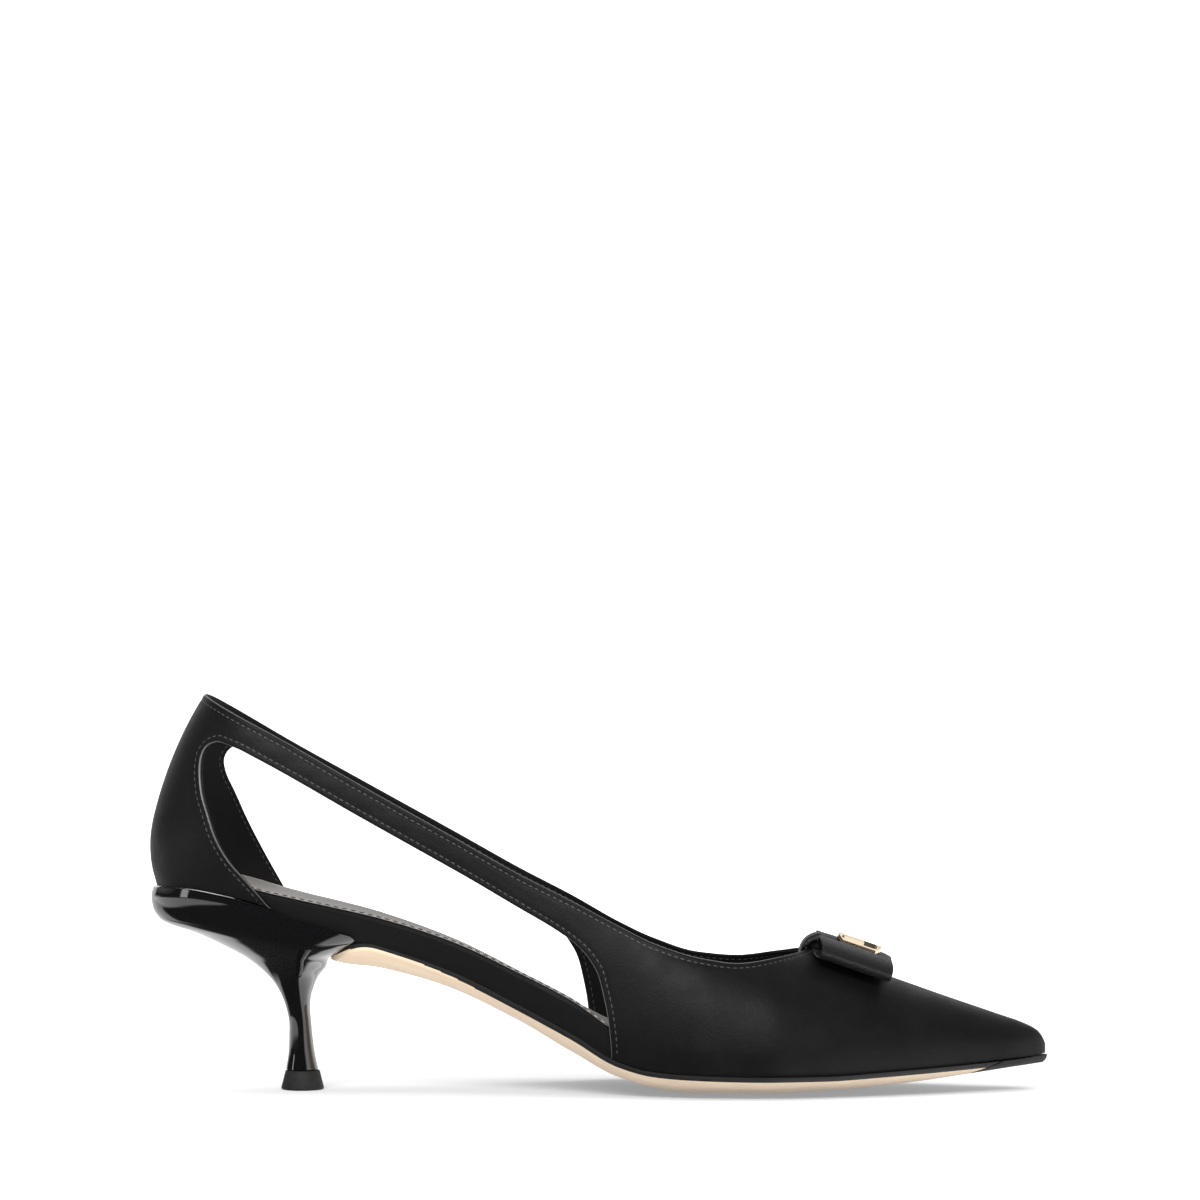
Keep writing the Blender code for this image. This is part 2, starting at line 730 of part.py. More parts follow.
def sole_half(x, side, grow):
    """Half width of the outsole: proud of the upper in front, tucked in at the waist."""
    front = min(1.0, max(0.0, (x - SOLE_PROUD_FROM) / (SOLE_PROUD_TO - SOLE_PROUD_FROM)))
    proud = blend(SOLE_WAIST_PROUD, SOLE_PROUD, front)
    tip = nose(x, SOLE_TIP_X + grow)
    width = (sole_width[side](min(x, TOE_X)) + proud) * tip + grow
    run = min(1.0, max(0.0, (TONGUE_FULL_X - x) / (TONGUE_FULL_X - TONGUE_X + grow)))
    return max(SLIVER, width * math.sqrt(1.0 - run * run))


def sole_top(x, y):
    return seat(x, y) - SOLE_GAP


def sole_bottom(x, y):
    """Underside: thin at the edge, full in the middle, and flat where it meets the floor."""
    side = MEDIAL if y < 0.0 else LATERAL
    share = min(1.0, abs(y) / half_width(x, side))
    thick = blend(SOLE_THICK, SOLE_EDGE, share ** 4)
    return max(0.0, seat(x, y) - GAP - thick)


def sole_stations(grow):
    """Stations along the sole, closer together where the tongue and the tip round off."""
    turns = np.linspace(0.0, SOLE_TURN, TURN_STATIONS)
    tongue = [blend(TONGUE_FULL_X, TONGUE_X - grow, math.sin(turn)) for turn in turns[::-1]]
    middle = list(np.linspace(TONGUE_FULL_X, NOSE_X, SOLE_STATIONS))[1:]
    tip = [blend(NOSE_X, SOLE_TIP_X + grow, math.sin(turn)) for turn in turns[1:]]
    return tongue + middle + tip


def sole_blank(name, collection):
    return slab(
        name, sole_stations(0.0), lambda x, side, level: sole_half(x, side, 0.0),
        sole_top, sole_bottom, collection,
    )


def joint_wedge(name, shift, cutters):
    """Space in front of the slanted joint between sole leather and toe tip."""
    outline = []
    for z in (JOINT_LOW, JOINT_HIGH):
        outline.append((JOINT_X + (z - JOINT_Z) * JOINT_SLANT + shift, z))
    for z in (JOINT_HIGH, JOINT_LOW):
        outline.append((JOINT_FRONT, z))
    return prism(name, outline, -JOINT_HALF, JOINT_HALF, cutters)


def build_sole(parts, cutters):
    """Leather outsole, and the rubber tip let into its front."""
    outsole = sole_blank("outsole", parts)
    cut(outsole, joint_wedge("outsole_joint", 0.0, cutters))
    tip = sole_blank("toe_tip", parts)
    clear = GAP * math.hypot(1.0, JOINT_SLANT)
    cut(tip, joint_wedge("toe_tip_joint", clear, cutters), "INTERSECT")
    return outsole, tip


def heel_ring(row):
    """One section of the heel, sheared down toward its front."""
    shear = max(0.0, (row.z - HEEL_SHEAR_FROM) / (HEEL_SEAT_Z - HEEL_SHEAR_FROM))
    centre = blend(STEM_X, SEAT_X, min(1.0, shear * STEM_TO_SEAT))
    ring = []
    for turn in np.linspace(0.0, 2.0 * math.pi, HEEL_POINTS, endpoint=False):
        along = math.cos(turn)
        across = math.sin(turn)
        front = along > 0.0
        power = row.front_power if front else blend(2.0, SEAT_ROUND, min(1.0, shear))
        reach = row.front - centre if front else centre - row.back
        radius = (abs(along / reach) ** power + abs(across / row.half) ** power) ** (-1.0 / power)
        x = centre + radius * along
        ring.append((x, radius * across, row.z - shear * heel_drop(x)))
    return ring


def heel_rows():
    """Table rows with smooth rows worked out between them."""
    columns = HeelRow._fields[1:]
    lines = {name: curve(HEEL_ROWS, "z", name) for name in columns}
    rows = []
    for first, second in zip(HEEL_ROWS, HEEL_ROWS[1:]):
        rows.append(first)
        middle = (first.z + second.z) / 2.0
        rows.append(HeelRow(middle, *(lines[name](middle) for name in columns)))
    return rows + [HEEL_ROWS[-1]]


def build_heel(parts, cutters):
    """Cup and stem in one sweep, trimmed by the seat above and by the tongue of the sole."""
    heel = loft("heel", [heel_ring(row) for row in heel_rows()], parts)
    stations = np.linspace(*SEAT_BLOCK_X, SEAT_STATIONS)
    seat_block = slab(
        "seat_block", stations, lambda x, side, level: SEAT_BLOCK_HALF,
        lambda x, y: seat(x, y) + SEAT_BLOCK_HEIGHT, lambda x, y: seat(x, y) - GAP, cutters, SEAT_POINTS,
    )
    cut(heel, seat_block)
    tongue_block = slab(
        "tongue_block", [x for x in sole_stations(GAP) if x < TONGUE_CUT_X],
        lambda x, side, level: sole_half(x, side, GAP),
        lambda x, y: seat(x, y) + SEAT_BLOCK_HEIGHT, lambda x, y: sole_bottom(x, y) - GAP, cutters,
    )
    cut(heel, tongue_block)
    return heel


def build_top_lift(parts):
    """Wear piece under the stem: a short flared round."""
    rings = []
    for z, radius in ((0.0, LIFT_FOOT_RADIUS), (LIFT_HEIGHT, LIFT_TOP_RADIUS)):
        rings.append(circle(LIFT_X, 0.0, z, radius, LIFT_POINTS))
    return loft("top_lift", rings, parts)


def bow_frame(parts):
    """Empty on the vamp ridge under the bow: its X runs down the ridge to the toe."""
    frame = bpy.data.objects.new("bow_frame", None)
    step = 1.0
    slope = math.atan2(ridge_height(BOW_X - step) - ridge_height(BOW_X + step), 2.0 * step)
    frame.location = (BOW_X * MM, 0.0, ridge_height(BOW_X) * MM)
    frame.rotation_euler = (0.0, slope, 0.0)
    parts.objects.link(frame)
    return frame


def bend(across):
    """Drop of plate, knot and ribbon from the middle of the knot to its sides."""
    return PLATE_BEND * (abs(across) / (PLATE_WIDTH / 2.0)) ** PLATE_BEND_POWER


def bow_thickness(across):
    """Height of the folded ribbon: pinched under the knot, puffed in the loops."""
    edge = KNOT_HALF_WIDTH + GAP
    share = min(1.0, max(0.0, abs(across) - edge) / BOW_SWELL)
    pinched = max(BOW_FLAT, BOW_PINCH - bend(min(abs(across), edge)))
    return blend(pinched, BOW_PUFF, share * share * (3.0 - 2.0 * share))


def bow_middle(across):
    """Height of the middle of the folded ribbon above the ridge."""
    droop = BOW_DROOP * (across / BOW_SPAN) ** 2
    return BOW_LIFT + bow_thickness(across) / 2.0 - droop


def bow_run(share, across):
    """Place along the ridge: share is -1 at the ribbon's rear edge and 1 at its front edge."""
    return blend(-ribbon_rear(abs(across)), ribbon_front(abs(across)), (share + 1.0) / 2.0)


def bow_outline():
    """Outside of the folded ribbon, across the shoe."""
    over = []
    under = []
    for share in np.sin(np.linspace(-math.pi / 2.0, math.pi / 2.0, RIBBON_STEPS)):
        across = share * BOW_SPAN
        half = bow_thickness(across) / 2.0 * math.sqrt(max(0.0, 1.0 - share ** FOLD_POWER))
        over.append((across, bow_middle(across) + half))
        under.append((across, bow_middle(across) - half))
    return over + under[-2:0:-1]


def loop_outline(side):
    """Inside of one loop."""
    centre = (LOOP_FROM + BOW_SPAN - RIBBON) / 2.0
    reach = (BOW_SPAN - RIBBON - LOOP_FROM) / 2.0
    over = []
    under = []
    for share in np.sin(np.linspace(-math.pi / 2.0, math.pi / 2.0, LOOP_STEPS)):
        across = side * (centre + share * reach)
        half = max(bow_thickness(across) / 2.0 - RIBBON, LOOP_SLIT)
        half *= math.sqrt(max(0.0, 1.0 - share ** LOOP_POWER))
        over.append((across, bow_middle(across) + half))
        under.append((across, bow_middle(across) - half))
    return over + under[-2:0:-1]


def build_bow_ribbon(frame, parts, cutters):
    """Folded ribbon with one open loop on each side of the knot."""
    shares = np.linspace(-1.0, 1.0, RIBBON_STATIONS)
    rings = [[(bow_run(s, a), a, h) for a, h in bow_outline()] for s in shares]
    ribbon = loft("bow_ribbon", rings, parts, folded=True)
    ribbon.parent = frame
    for side, label in ((MEDIAL, "inner"), (LATERAL, "outer")):
        rings = [[(bow_run(s * LOOP_PAST, a), a, h) for a, h in loop_outline(side)] for s in shares]
        hollow = loft(label + "_loop", rings, cutters, folded=True)
        hollow.parent = frame
        cut(ribbon, hollow)
    return ribbon


def through(points, steps):
    """Points on a smooth path through the given ones, with the same count on each span."""
    padded = [points[0]] + list(points) + [points[-1]]
    path = []
    for i in range(1, len(padded) - 2):
        a, b, c, d = (np.array(p) for p in padded[i - 1:i + 3])
        for t in np.linspace(0.0, 1.0, steps, endpoint=False):
            bend = (2 * a - 5 * b + 4 * c - d) * t * t + (3 * b - a - 3 * c + d) * t ** 3
            path.append(b + 0.5 * ((c - a) * t + bend))
    path.append(np.array(points[-1]))
    return path


def build_bow_knot(frame, parts):
    """Band bent over the ribbon that rolls over the throat edge, with its long edges rounded."""
    rings = []
    for run, rise, under_run, under_rise in through(KNOT_ROWS, KNOT_STEPS):
        bent = min(1.0, max(0.0, under_rise) / KNOT_BRIDGE) ** 2
        ring = []
        for level in (0.0, 1.0):
            for share in KNOT_SHARES if level == 0.0 else KNOT_SHARES[::-1]:
                depth = abs(level - KNOT_EDGE) if abs(share) == 1.0 else level
                across = share * KNOT_HALF_WIDTH
                height = blend(rise, under_rise, depth) - bent * bend(across)
                ring.append((blend(run, under_run, depth), across, height))
        rings.append(ring)
    knot = loft("bow_knot", rings, parts)
    knot.parent = frame
    return knot


def plate_ring(run, half):
    """Section of the bar plate, bent over the knot."""
    spots = np.linspace(-half, half, PLATE_POINTS)
    under = [(run, across, PLATE_RISE - bend(across)) for across in spots]
    over = [(run, across, height + PLATE_THICK) for run, across, height in under]
    return under + over[::-1]


def build_bow_plate(frame, parts, cutters):
    """Gold bar with cut corners, four rivets and one slot."""
    length = PLATE_LENGTH / 2.0
    width = PLATE_WIDTH / 2.0
    sections = (
        (-length, width - PLATE_CHAMFER), (PLATE_CHAMFER - length, width),
        (length - PLATE_CHAMFER, width), (length, width - PLATE_CHAMFER),
    )
    plate = loft("bow_plate", [plate_ring(PLATE_RUN + run, half) for run, half in sections], parts)
    plate.parent = frame
    for along in (-1.0, 1.0):
        for side in (MEDIAL, LATERAL):
            run = PLATE_RUN + along * (length - PLATE_CHAMFER)
            across = side * (width - PLATE_CHAMFER)
            rings = []
            for level in RIVET_RINGS:
                z = PLATE_RISE + PLATE_THICK + level.rise - bend(across)
                rings.append(circle(run, across, z, RIVET_RADIUS * level.share, RIVET_POINTS))
            rivet = loft("rivet", rings, cutters)
            rivet.parent = frame
            cut(plate, rivet, "UNION")
    ends = (SLOT_RUN - SLOT_LENGTH / 2.0, SLOT_RUN + SLOT_LENGTH / 2.0)
    low = PLATE_RISE - SLOT_DEPTH / 2.0
    high = PLATE_RISE + SLOT_DEPTH / 2.0
    outline = [(ends[0], low), (ends[1], low), (ends[1], high), (ends[0], high)]
    slot = prism("plate_slot", outline, SLOT_Y - SLOT_WIDTH, SLOT_Y, cutters)
    slot.parent = frame
    cut(plate, slot)
    return plate


def collection(name):
    made = bpy.data.collections.new(name)
    bpy.context.scene.collection.children.link(made)
    return made


def main():
    for old in list(bpy.data.objects):
        bpy.data.objects.remove(old, do_unlink=True)
    parts = collection("kitten_heel_pump")
    cutters = collection("cutters")
    satin = material("satin_black", (0.012, 0.012, 0.013), 0.45)
    wrap = material("wrap_black", (0.014, 0.014, 0.014), 0.5)
    greige = material("sock_leather", (0.42, 0.40, 0.38), 0.55)
    leather = material("sole_leather", (0.80, 0.62, 0.45), 0.5)
    rubber = material("rubber_black", (0.03, 0.03, 0.03), 0.65)
    lacquer = material("heel_lacquer", (0.004, 0.004, 0.005), 0.05, coat=1.0)
    gold = material("pale_gold", (0.86, 0.70, 0.50), 0.22, metallic=1.0)
    finish(build_upper(parts, cutters), satin)
    finish(build_insole(parts), wrap)
    finish(build_sock(parts), greige)
    outsole, tip = build_sole(parts, cutters)
    finish(outsole, leather)
    finish(tip, rubber)
    finish(build_heel(parts, cutters), lacquer)
    finish(build_top_lift(parts), rubber)
    frame = bow_frame(parts)
    finish(build_bow_ribbon(frame, parts, cutters), satin)
    finish(build_bow_knot(frame, parts), satin)
    finish(build_bow_plate(frame, parts, cutters), gold)
    for cutter in cutters.objects:
        cutter.hide_render = True
        cutter.display_type = "WIRE"


main()
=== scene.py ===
"""Looks of the kitten heel pump: satin, leather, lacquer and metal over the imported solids.

Tables and sizes are in millimetres and repeat those of the solids. +X points to the toe, +Y to
the outer (lateral) side and +Z up. The shoe stands on Z = 0.
"""
import math
from collections import namedtuple

import bmesh
import bpy
import numpy as np
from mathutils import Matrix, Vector
from mathutils.geometry import delaunay_2d_cdt


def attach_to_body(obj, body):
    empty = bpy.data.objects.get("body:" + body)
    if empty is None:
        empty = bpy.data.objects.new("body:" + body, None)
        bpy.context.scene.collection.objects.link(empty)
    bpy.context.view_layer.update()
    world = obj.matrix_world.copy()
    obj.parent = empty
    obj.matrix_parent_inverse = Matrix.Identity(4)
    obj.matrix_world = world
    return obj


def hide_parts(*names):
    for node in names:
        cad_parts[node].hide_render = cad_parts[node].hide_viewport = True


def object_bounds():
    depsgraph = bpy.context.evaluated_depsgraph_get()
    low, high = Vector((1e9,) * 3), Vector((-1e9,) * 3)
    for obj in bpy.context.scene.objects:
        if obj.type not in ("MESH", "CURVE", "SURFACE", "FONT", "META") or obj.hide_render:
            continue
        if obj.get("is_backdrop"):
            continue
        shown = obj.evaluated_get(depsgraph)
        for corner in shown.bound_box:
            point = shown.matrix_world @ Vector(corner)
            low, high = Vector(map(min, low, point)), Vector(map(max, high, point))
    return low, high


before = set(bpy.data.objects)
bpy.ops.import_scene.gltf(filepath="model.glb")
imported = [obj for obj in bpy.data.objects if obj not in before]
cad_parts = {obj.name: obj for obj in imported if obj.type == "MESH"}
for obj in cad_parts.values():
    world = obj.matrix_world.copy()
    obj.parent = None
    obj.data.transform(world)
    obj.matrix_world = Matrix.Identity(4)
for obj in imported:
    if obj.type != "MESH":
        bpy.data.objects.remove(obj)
cad_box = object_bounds()


def table(columns, *rows):
    """Rows of a short table whose columns have names."""
    row_type = namedtuple("Row", columns)
    return tuple(row_type(*row) for row in rows)


# Scale and clearances
MM = 0.001
GAP = 0.3
WELD = 0.012
WALL = 1.5

# Main sizes of the last
SEAT_X = -85.0
TOE_X = 124.0
NOSE_X = 111.0
THROAT_X = 57.5
SEAT_ROUND = 2.2
TUCK_HEIGHT = 7.0
TUCK_FROM = -20.0
TUCK_TO = 20.0
TUCK_SHARE = 0.6
SLIVER = 0.4
LEAST_WIDTH = 0.1
CROWN_POWER = 2.5
CAVITY_TOE_X = 120.5
CAVITY_CLOSE_X = 119.0
CAVITY_POWER = 6
RIM_TURN = 6

# Sides of the shoe: the sign is that of Y
MEDIAL = -1
LATERAL = 1
SIDES = (MEDIAL, LATERAL)

# Half widths of the last by length: at the sole edge (sole) and at the widest (body)
GIRTHS = table(
    "x sole_in sole_out body_in body_out fullness",
    (-85.0, 24.6, 24.6, 27.0, 27.0, 2.4),
    (-60.0, 22.6, 24.0, 26.8, 27.2, 2.8),
    (-40.0, 21.8, 25.0, 26.8, 28.2, 3.0),
    (-20.0, 23.2, 28.3, 27.6, 30.2, 3.0),
    (0.0, 28.0, 32.3, 30.6, 33.9, 2.8),
    (20.0, 33.2, 35.4, 35.0, 36.8, 2.5),
    (32.0, 35.0, 35.7, 36.6, 37.1, 2.3),
    (45.0, 35.2, 34.6, 36.8, 36.1, 2.2),
    (60.0, 32.3, 30.7, 33.8, 32.2, 2.15),
    (75.0, 27.5, 24.8, 28.9, 26.2, 2.1),
    (90.0, 21.0, 18.2, 22.3, 19.5, 2.0),
    (105.0, 13.7, 11.9, 14.9, 13.1, 2.0),
    (111.0, 10.8, 9.6, 11.9, 10.7, 2.0),
    (124.0, 5.2, 4.9, 6.2, 5.9, 2.0),
)

# Height of the edge where upper and sole meet, and how far the middle hangs below it
FEATHERS = table(
    "x inner outer crown",
    (-125.0, 56.9, 56.9, 0.0),
    (-116.0, 57.0, 57.0, 0.2),
    (-104.0, 55.4, 55.4, 0.8),
    (-94.0, 53.0, 52.8, 2.0),
    (-84.0, 48.9, 48.4, 4.8),
    (-74.0, 45.8, 45.0, 7.0),
    (-60.0, 41.7, 40.3, 4.8),
    (-41.0, 34.9, 32.8, 3.3),
    (-22.0, 25.5, 22.8, 2.8),
    (-8.0, 18.0, 15.0, 3.4),
    (5.0, 10.4, 8.9, 3.3),
    (14.0, 8.0, 7.2, 4.1),
    (24.0, 7.2, 6.8, 4.9),
    (46.0, 6.7, 6.7, 4.8),
    (60.0, 6.7, 6.7, 3.9),
    (80.0, 7.5, 7.5, 3.2),
    (105.0, 8.8, 8.8, 1.2),
    (116.0, 9.5, 9.5, 0.3),
    (125.0, 10.3, 10.3, 0.0),
)

# Line of the instep and vamp ridge
RIDGES = table(
    "x z",
    (-85.0, 128.0),
    (-60.0, 112.0),
    (-40.0, 98.0),
    (-20.0, 84.0),
    (0.0, 70.0),
    (20.0, 57.0),
    (38.0, 47.5),
    (50.0, 42.3),
    (57.5, 39.5),
    (81.5, 31.2),
    (98.0, 25.4),
    (111.5, 20.8),
    (118.0, 18.5),
    (121.9, 16.3),
    (123.4, 14.2),
    (124.0, 12.6),
)

# Back curve of the counter, as one section of the last
BACK_BODY = 41.9
BACK_TUCK = 3.6
BACK_HEIGHT = 73.4
BACK_FULLNESS = 1.68
BACK_TUCK_HEIGHT = 19.2

# Topline seen from the side
TOPLINES = table(
    "x inner outer",
    (-120.0, 116.0, 116.0),
    (-109.1, 109.6, 109.6),
    (-100.0, 104.6, 104.0),
    (-90.0, 99.4, 98.0),
    (-66.8, 86.2, 85.0),
    (-40.0, 71.2, 70.1),
    (-23.0, 61.6, 60.5),
    (-8.0, 54.0, 52.6),
    (5.5, 46.9, 44.9),
    (15.0, 42.3, 40.4),
    (28.0, 38.3, 36.4),
    (38.0, 36.9, 35.7),
    (50.0, 38.3, 37.6),
    (57.5, 39.5, 39.5),
)

# Side windows: the strap above them, and their counter and vamp edges by height
STRAP_DROP = 8.9
STRAP_GROWTH = 1.0
STRAP_GROWS_FROM = -36.0
STRAP_GROWS_TO = -13.0
STRAP_FROM = {MEDIAL: -99.0, LATERAL: -95.0}
VAMP_SHIFT = {MEDIAL: 0.0, LATERAL: -5.7}
CORNER_POWER = 4
OUTER_COUNTER_EDGE = table(
    "z x",
    (40.0, -80.8),
    (55.4, -89.7),
    (65.7, -95.7),
    (74.4, -100.3),
    (82.6, -104.0),
    (87.9, -106.4),
    (91.2, -107.0),
    (93.9, -105.9),
    (95.4, -103.7),
)
INNER_COUNTER_EDGE = table(
    "z x",
    (40.0, -80.0),
    (52.5, -91.2),
    (60.1, -97.9),
    (64.8, -102.1),
    (71.5, -105.9),
    (77.8, -108.0),
    (84.0, -109.8),
    (90.3, -110.3),
    (94.5, -109.6),
    (96.6, -108.0),
    (97.5, -105.2),
)
VAMP_EDGE = table(
    "z x",
    (0.0, 3.4),
    (12.0, 3.1),
    (21.5, 2.2),
    (30.3, 0.4),
    (34.0, -0.7),
    (37.2, -2.6),
    (40.3, -5.2),
    (42.8, -8.4),
    (46.0, -13.6),
)

# Insole board and sock lining: height of the board's rim above the sole edge
BOARDS = table(
    "x inner outer",
    (-125.0, 3.6, 3.6),
    (-94.0, 3.4, 2.9),
    (-84.0, 5.2, 4.5),
    (-60.0, 6.9, 6.3),
    (-41.0, 7.6, 6.7),
    (-22.0, 8.2, 7.0),
    (-8.0, 8.6, 6.9),
    (5.0, 7.6, 6.4),
    (20.0, 5.2, 4.8),
    (50.0, 4.2, 4.2),
    (124.0, 2.8, 2.8),
)
BOARD_DISH = 1.2
BOARD_TOE_X = 117.0
BOARD_ROUND = 0.9
BOARD_BACK_SLIVER = 0.15
SOCK_THICK = 0.7
SOCK_INSET = 0.9
SOCK_TOE_X = 115.0
SOCK_ROUND = 0.25
SOCK_BORDER = 4

# Outsole: thickness, edge, rounded tongue at the heel breast, and toe joint
SOLE_GAP = 0.45
SOLE_THICK = 2.2
SOLE_EDGE = 1.5
SOLE_EDGE_POWER = 4
SOLE_BULGE = 0.25
SOLE_UNDERCUT = 0.7
# Black border along the top of the sole: edge paint, and painted shade in the groove under the upper
SOLE_PAINT_AND_SHADE_BORDER = 6
SOLE_TIP_ROUND = 1.6
SOLE_TIP_LEFT = 0.2
PAINT_THIN = 0.9
PAINT_FULL = 2.4
PAINT_X = (-50.0, -5.0)
SOLE_TIP_X = 124.5
TIP_TURN = 87.0
SOLE_PROUD = 0.9
SOLE_WAIST_PROUD = -0.5
SOLE_PROUD_FROM = -15.0
SOLE_PROUD_TO = 15.0
TONGUE_X = -75.0
TONGUE_FULL_X = -61.0
TONGUE_CUT_X = -20.0
JOINT_X = 106.5
JOINT_Z = 7.0
JOINT_SLANT = 2.5
JOINT_LOW = -5.0
JOINT_HIGH = 20.0
JOINT_FRONT = 180.0
JOINT_HALF = 40.0

# Heel: sections from the top lift to the seat, each sheared down at the front by the drop
HEEL_ROWS = table(
    "z back front half front_power",
    (5.7, -87.4, -78.5, 4.5, 2.0),
    (10.6, -86.7, -79.5, 4.1, 2.0),
    (17.6, -86.5, -80.3, 3.9, 2.0),
    (23.4, -87.4, -80.7, 4.3, 2.0),
    (27.0, -88.5, -80.5, 5.0, 2.0),
    (31.0, -90.4, -79.6, 6.5, 2.0),
    (34.3, -93.3, -78.5, 8.6, 2.0),
    (38.0, -98.2, -76.2, 12.4, 2.2),
    (41.0, -104.6, -75.4, 16.4, 2.4),
    (43.9, -112.2, -70.0, 20.4, 2.7),
    (46.0, -119.3, -66.5, 23.0, 3.0),
    (47.7, -122.5, -63.5, 24.2, 3.3),
    (51.0, -124.5, -60.0, 25.0, 3.8),
    (54.0, -124.9, -59.0, 25.2, 4.0),
    (58.0, -123.8, -58.5, 25.1, 4.0),
)
HEEL_SHEAR_FROM = 20.0
HEEL_SEAT_Z = 57.0
HEEL_DROPS = table(
    "x down",
    (-125.0, 0.0),
    (-116.0, 0.05),
    (-104.0, 1.6),
    (-94.0, 4.0),
    (-88.0, 6.3),
    (-80.0, 7.6),
    (-72.0, 7.7),
    (-66.0, 8.3),
    (-58.0, 8.8),
)
STEM_X = -83.0
STEM_TO_SEAT = 1.5
SEAT_BLOCK_X = (-132.0, -50.0)
SEAT_BLOCK_HALF = 29.0
SEAT_BLOCK_HEIGHT = 30.0

# Top lift: its profile from the foot up
LIFT_X = -82.8
LIFT_ROWS = table(
    "z radius",
    (0.0, 5.45),
    (0.12, 5.75),
    (0.45, 5.93),
    (0.9, 5.86),
    (2.6, 5.42),
    (4.9, 4.86),
    (5.25, 4.72),
    (5.4, 4.45),
)

# Bow: its frame lies on the vamp ridge
BOW_X = 70.5
BOW_SPAN = 20.0
BOW_FLAT = 1.3
BOW_PINCH = 3.6
BOW_PUFF = 5.4
BOW_SWELL = 6.0
BOW_LIFT = 0.55
BOW_DROOP = 2.6
RIBBON = 0.6
LOOP_FROM = 4.2
LOOP_SLIT = 0.05
MIDDLE_HALF = 4.1
MIDDLE_POINTS = 9
SELVEDGE = 0.12
PLEAT = 0.2
PLEAT_COUNT = 2.5
PLEAT_REACH = 4.5
FOLD_POWER = 6
LOOP_POWER = 4

# Half lengths of the ribbon along the ridge, by distance from the knot
RIBBON_EDGES = table(
    "across front rear",
    (0.0, 8.4, 9.0),
    (5.5, 8.4, 9.05),
    (8.5, 8.4, 12.0),
    (12.0, 8.8, 11.9),
    (16.0, 9.5, 11.2),
    (20.0, 9.9, 10.3),
)

# Knot band: outer and under face by place along the ridge (run) and height above it (rise)
KNOT_HALF_WIDTH = 5.0
KNOT_EDGE_POWER = 9.0
KNOT_ROLL_POWER = 2.6
KNOT_PLEAT = 0.1
KNOT_PLEATS = 5
KNOT_BRIDGE = 4.5
KNOT_TUCK = 0.22
KNOT_TUCK_RISE = 1.2
KNOT_SKIN = (1.9, 2.5)
KNOT_OVER = 0.2
THROAT_CURVE = 0.023
KNOT_RECESS = 0.4
KNOT_ROWS = table(
    "run rise under_run under_rise",
    (10.5, 1.2, 9.5, 1.4),
    (10.6, 2.6, 9.6, 2.6),
    (9.9, 4.3, 9.2, 3.8),
    (8.3, 5.45, 8.2, 4.5),
    (0.0, 5.6, 0.0, 4.5),
    (-8.0, 5.7, -8.0, 4.6),
    (-10.2, 5.6, -9.6, 4.3),
    (-11.6, 5.3, -10.1, 0.9),
    (-12.9, 4.8, -11.4, 0.3),
    (-14.2, 3.7, -12.6, 0.2),
    (-15.2, 2.2, -13.6, 0.14),
    (-15.7, 0.1, -14.0, -0.1),
    (-15.4, -1.9, -14.0, -1.8),
)

# Bar plate: its CAD solid stays, with softened edges; the knot and the ribbon sag as it does
PLATE_WIDTH = 8.6
PLATE_BEND = 1.5
PLATE_BEND_POWER = 3
PLATE_BEVEL = 0.14
PLATE_BEVEL_STEPS = 3
PLATE_BEVEL_ANGLE = 35.0

# The upper is drawn on a flat sheet: u from the back seam to the toe, v from the sole edge up
FAN_LENGTH = 60.0
NOSE_LENGTH = 18.0
RISE_LENGTH = 75.0
SHEET_STEP = 1.6
EDGE_STEP = 1.1
EDGE_ROUND = 0.45
THROAT_RUN = 20.0
THROAT_STEPS = 26
GRID_CLEAR = 2.8
ROW_SHARE = 0.9
CLEAR_SHARE = 0.6
FOLD_CLEAR = 0.3
SHEET_MERGE = 0.0001
TOE_STEP = 6.0
LINE_STEP = 0.5
LINE_PASSES = 6
PROBE = 0.3
NORMAL_PROBE = 0.4
LEAST_STRETCH = 0.2
HALVINGS = 40
FOOT_PASSES = 6
FOOT_HALVINGS = 24

# Rim of the upper from the outer face to the lining, with the finish of each strip
# The burnished strips are glossier than the satin, and their lighter colour is a painted highlight along
# the edge
SATIN, LINING, BURNISHED_HIGHLIGHT = range(3)
EDGE_ROWS = table(
    "through out finish",
    (0.05, 0.55, SATIN),
    (0.16, 0.9, BURNISHED_HIGHLIGHT),
    (0.3, 1.0, BURNISHED_HIGHLIGHT),
    (0.44, 0.88, SATIN),
    (0.54, 0.5, SATIN),
    (0.6, 0.05, SATIN),
    (0.66, 0.4, LINING),
    (0.78, 0.72, LINING),
    (0.92, 0.5, LINING),
)

# The rim under the bow's roll isn't burnished: it gets no painted highlight there
BARE_RIM_X = 50.0
BARE_RIM_HALF = 6.5

# Folded band along the edges: rows inside the rim, raised or pressed in; the stitches lie in one
FOLD_ROWS = table("inside lift", (0.55, 0.05), (1.3, -0.12), (2.1, 0.02))
STITCH_ROW = 1

# Stitches
STITCH_PITCH = 1.85
STITCH_FILL = 0.7
STITCH_WIDTH = 0.34
STITCH_HEIGHT = 0.24
STITCH_SINK = 0.06
STITCH_POINTS = 8
STITCH_ROWS = table("run swell", (-1.0, 0.25), (-0.75, 0.8), (0.0, 1.0), (0.75, 0.8), (1.0, 0.25))
SOCK_STITCH_X = (-98.0, 30.0)
SOCK_STITCH_PITCH = 2.4

# Number of divisions
SLAB_POINTS = 45
EDGE_POINTS = 9
SLAB_STATIONS = 150
TURN_STATIONS = 22
TOE_STATIONS = 8
SEAT_STATIONS = 70
SEAT_POINTS = 41
HEEL_POINTS = 112
HEEL_STEPS = 5
LIFT_POINTS = 72
BOW_POINTS = 61
BOW_STATIONS = 31
KNOT_STEPS = 6
KNOT_POINTS = 72
WINDOW_STEPS = 60
SHARP_ANGLE = 38.0

# Camera of the photograph, in metres
CAMERA_DISTANCE = 1.5
CAMERA_HEIGHT = 0.1362
CAMERA_LENS = 161.6
CAMERA_SENSOR = 36.0
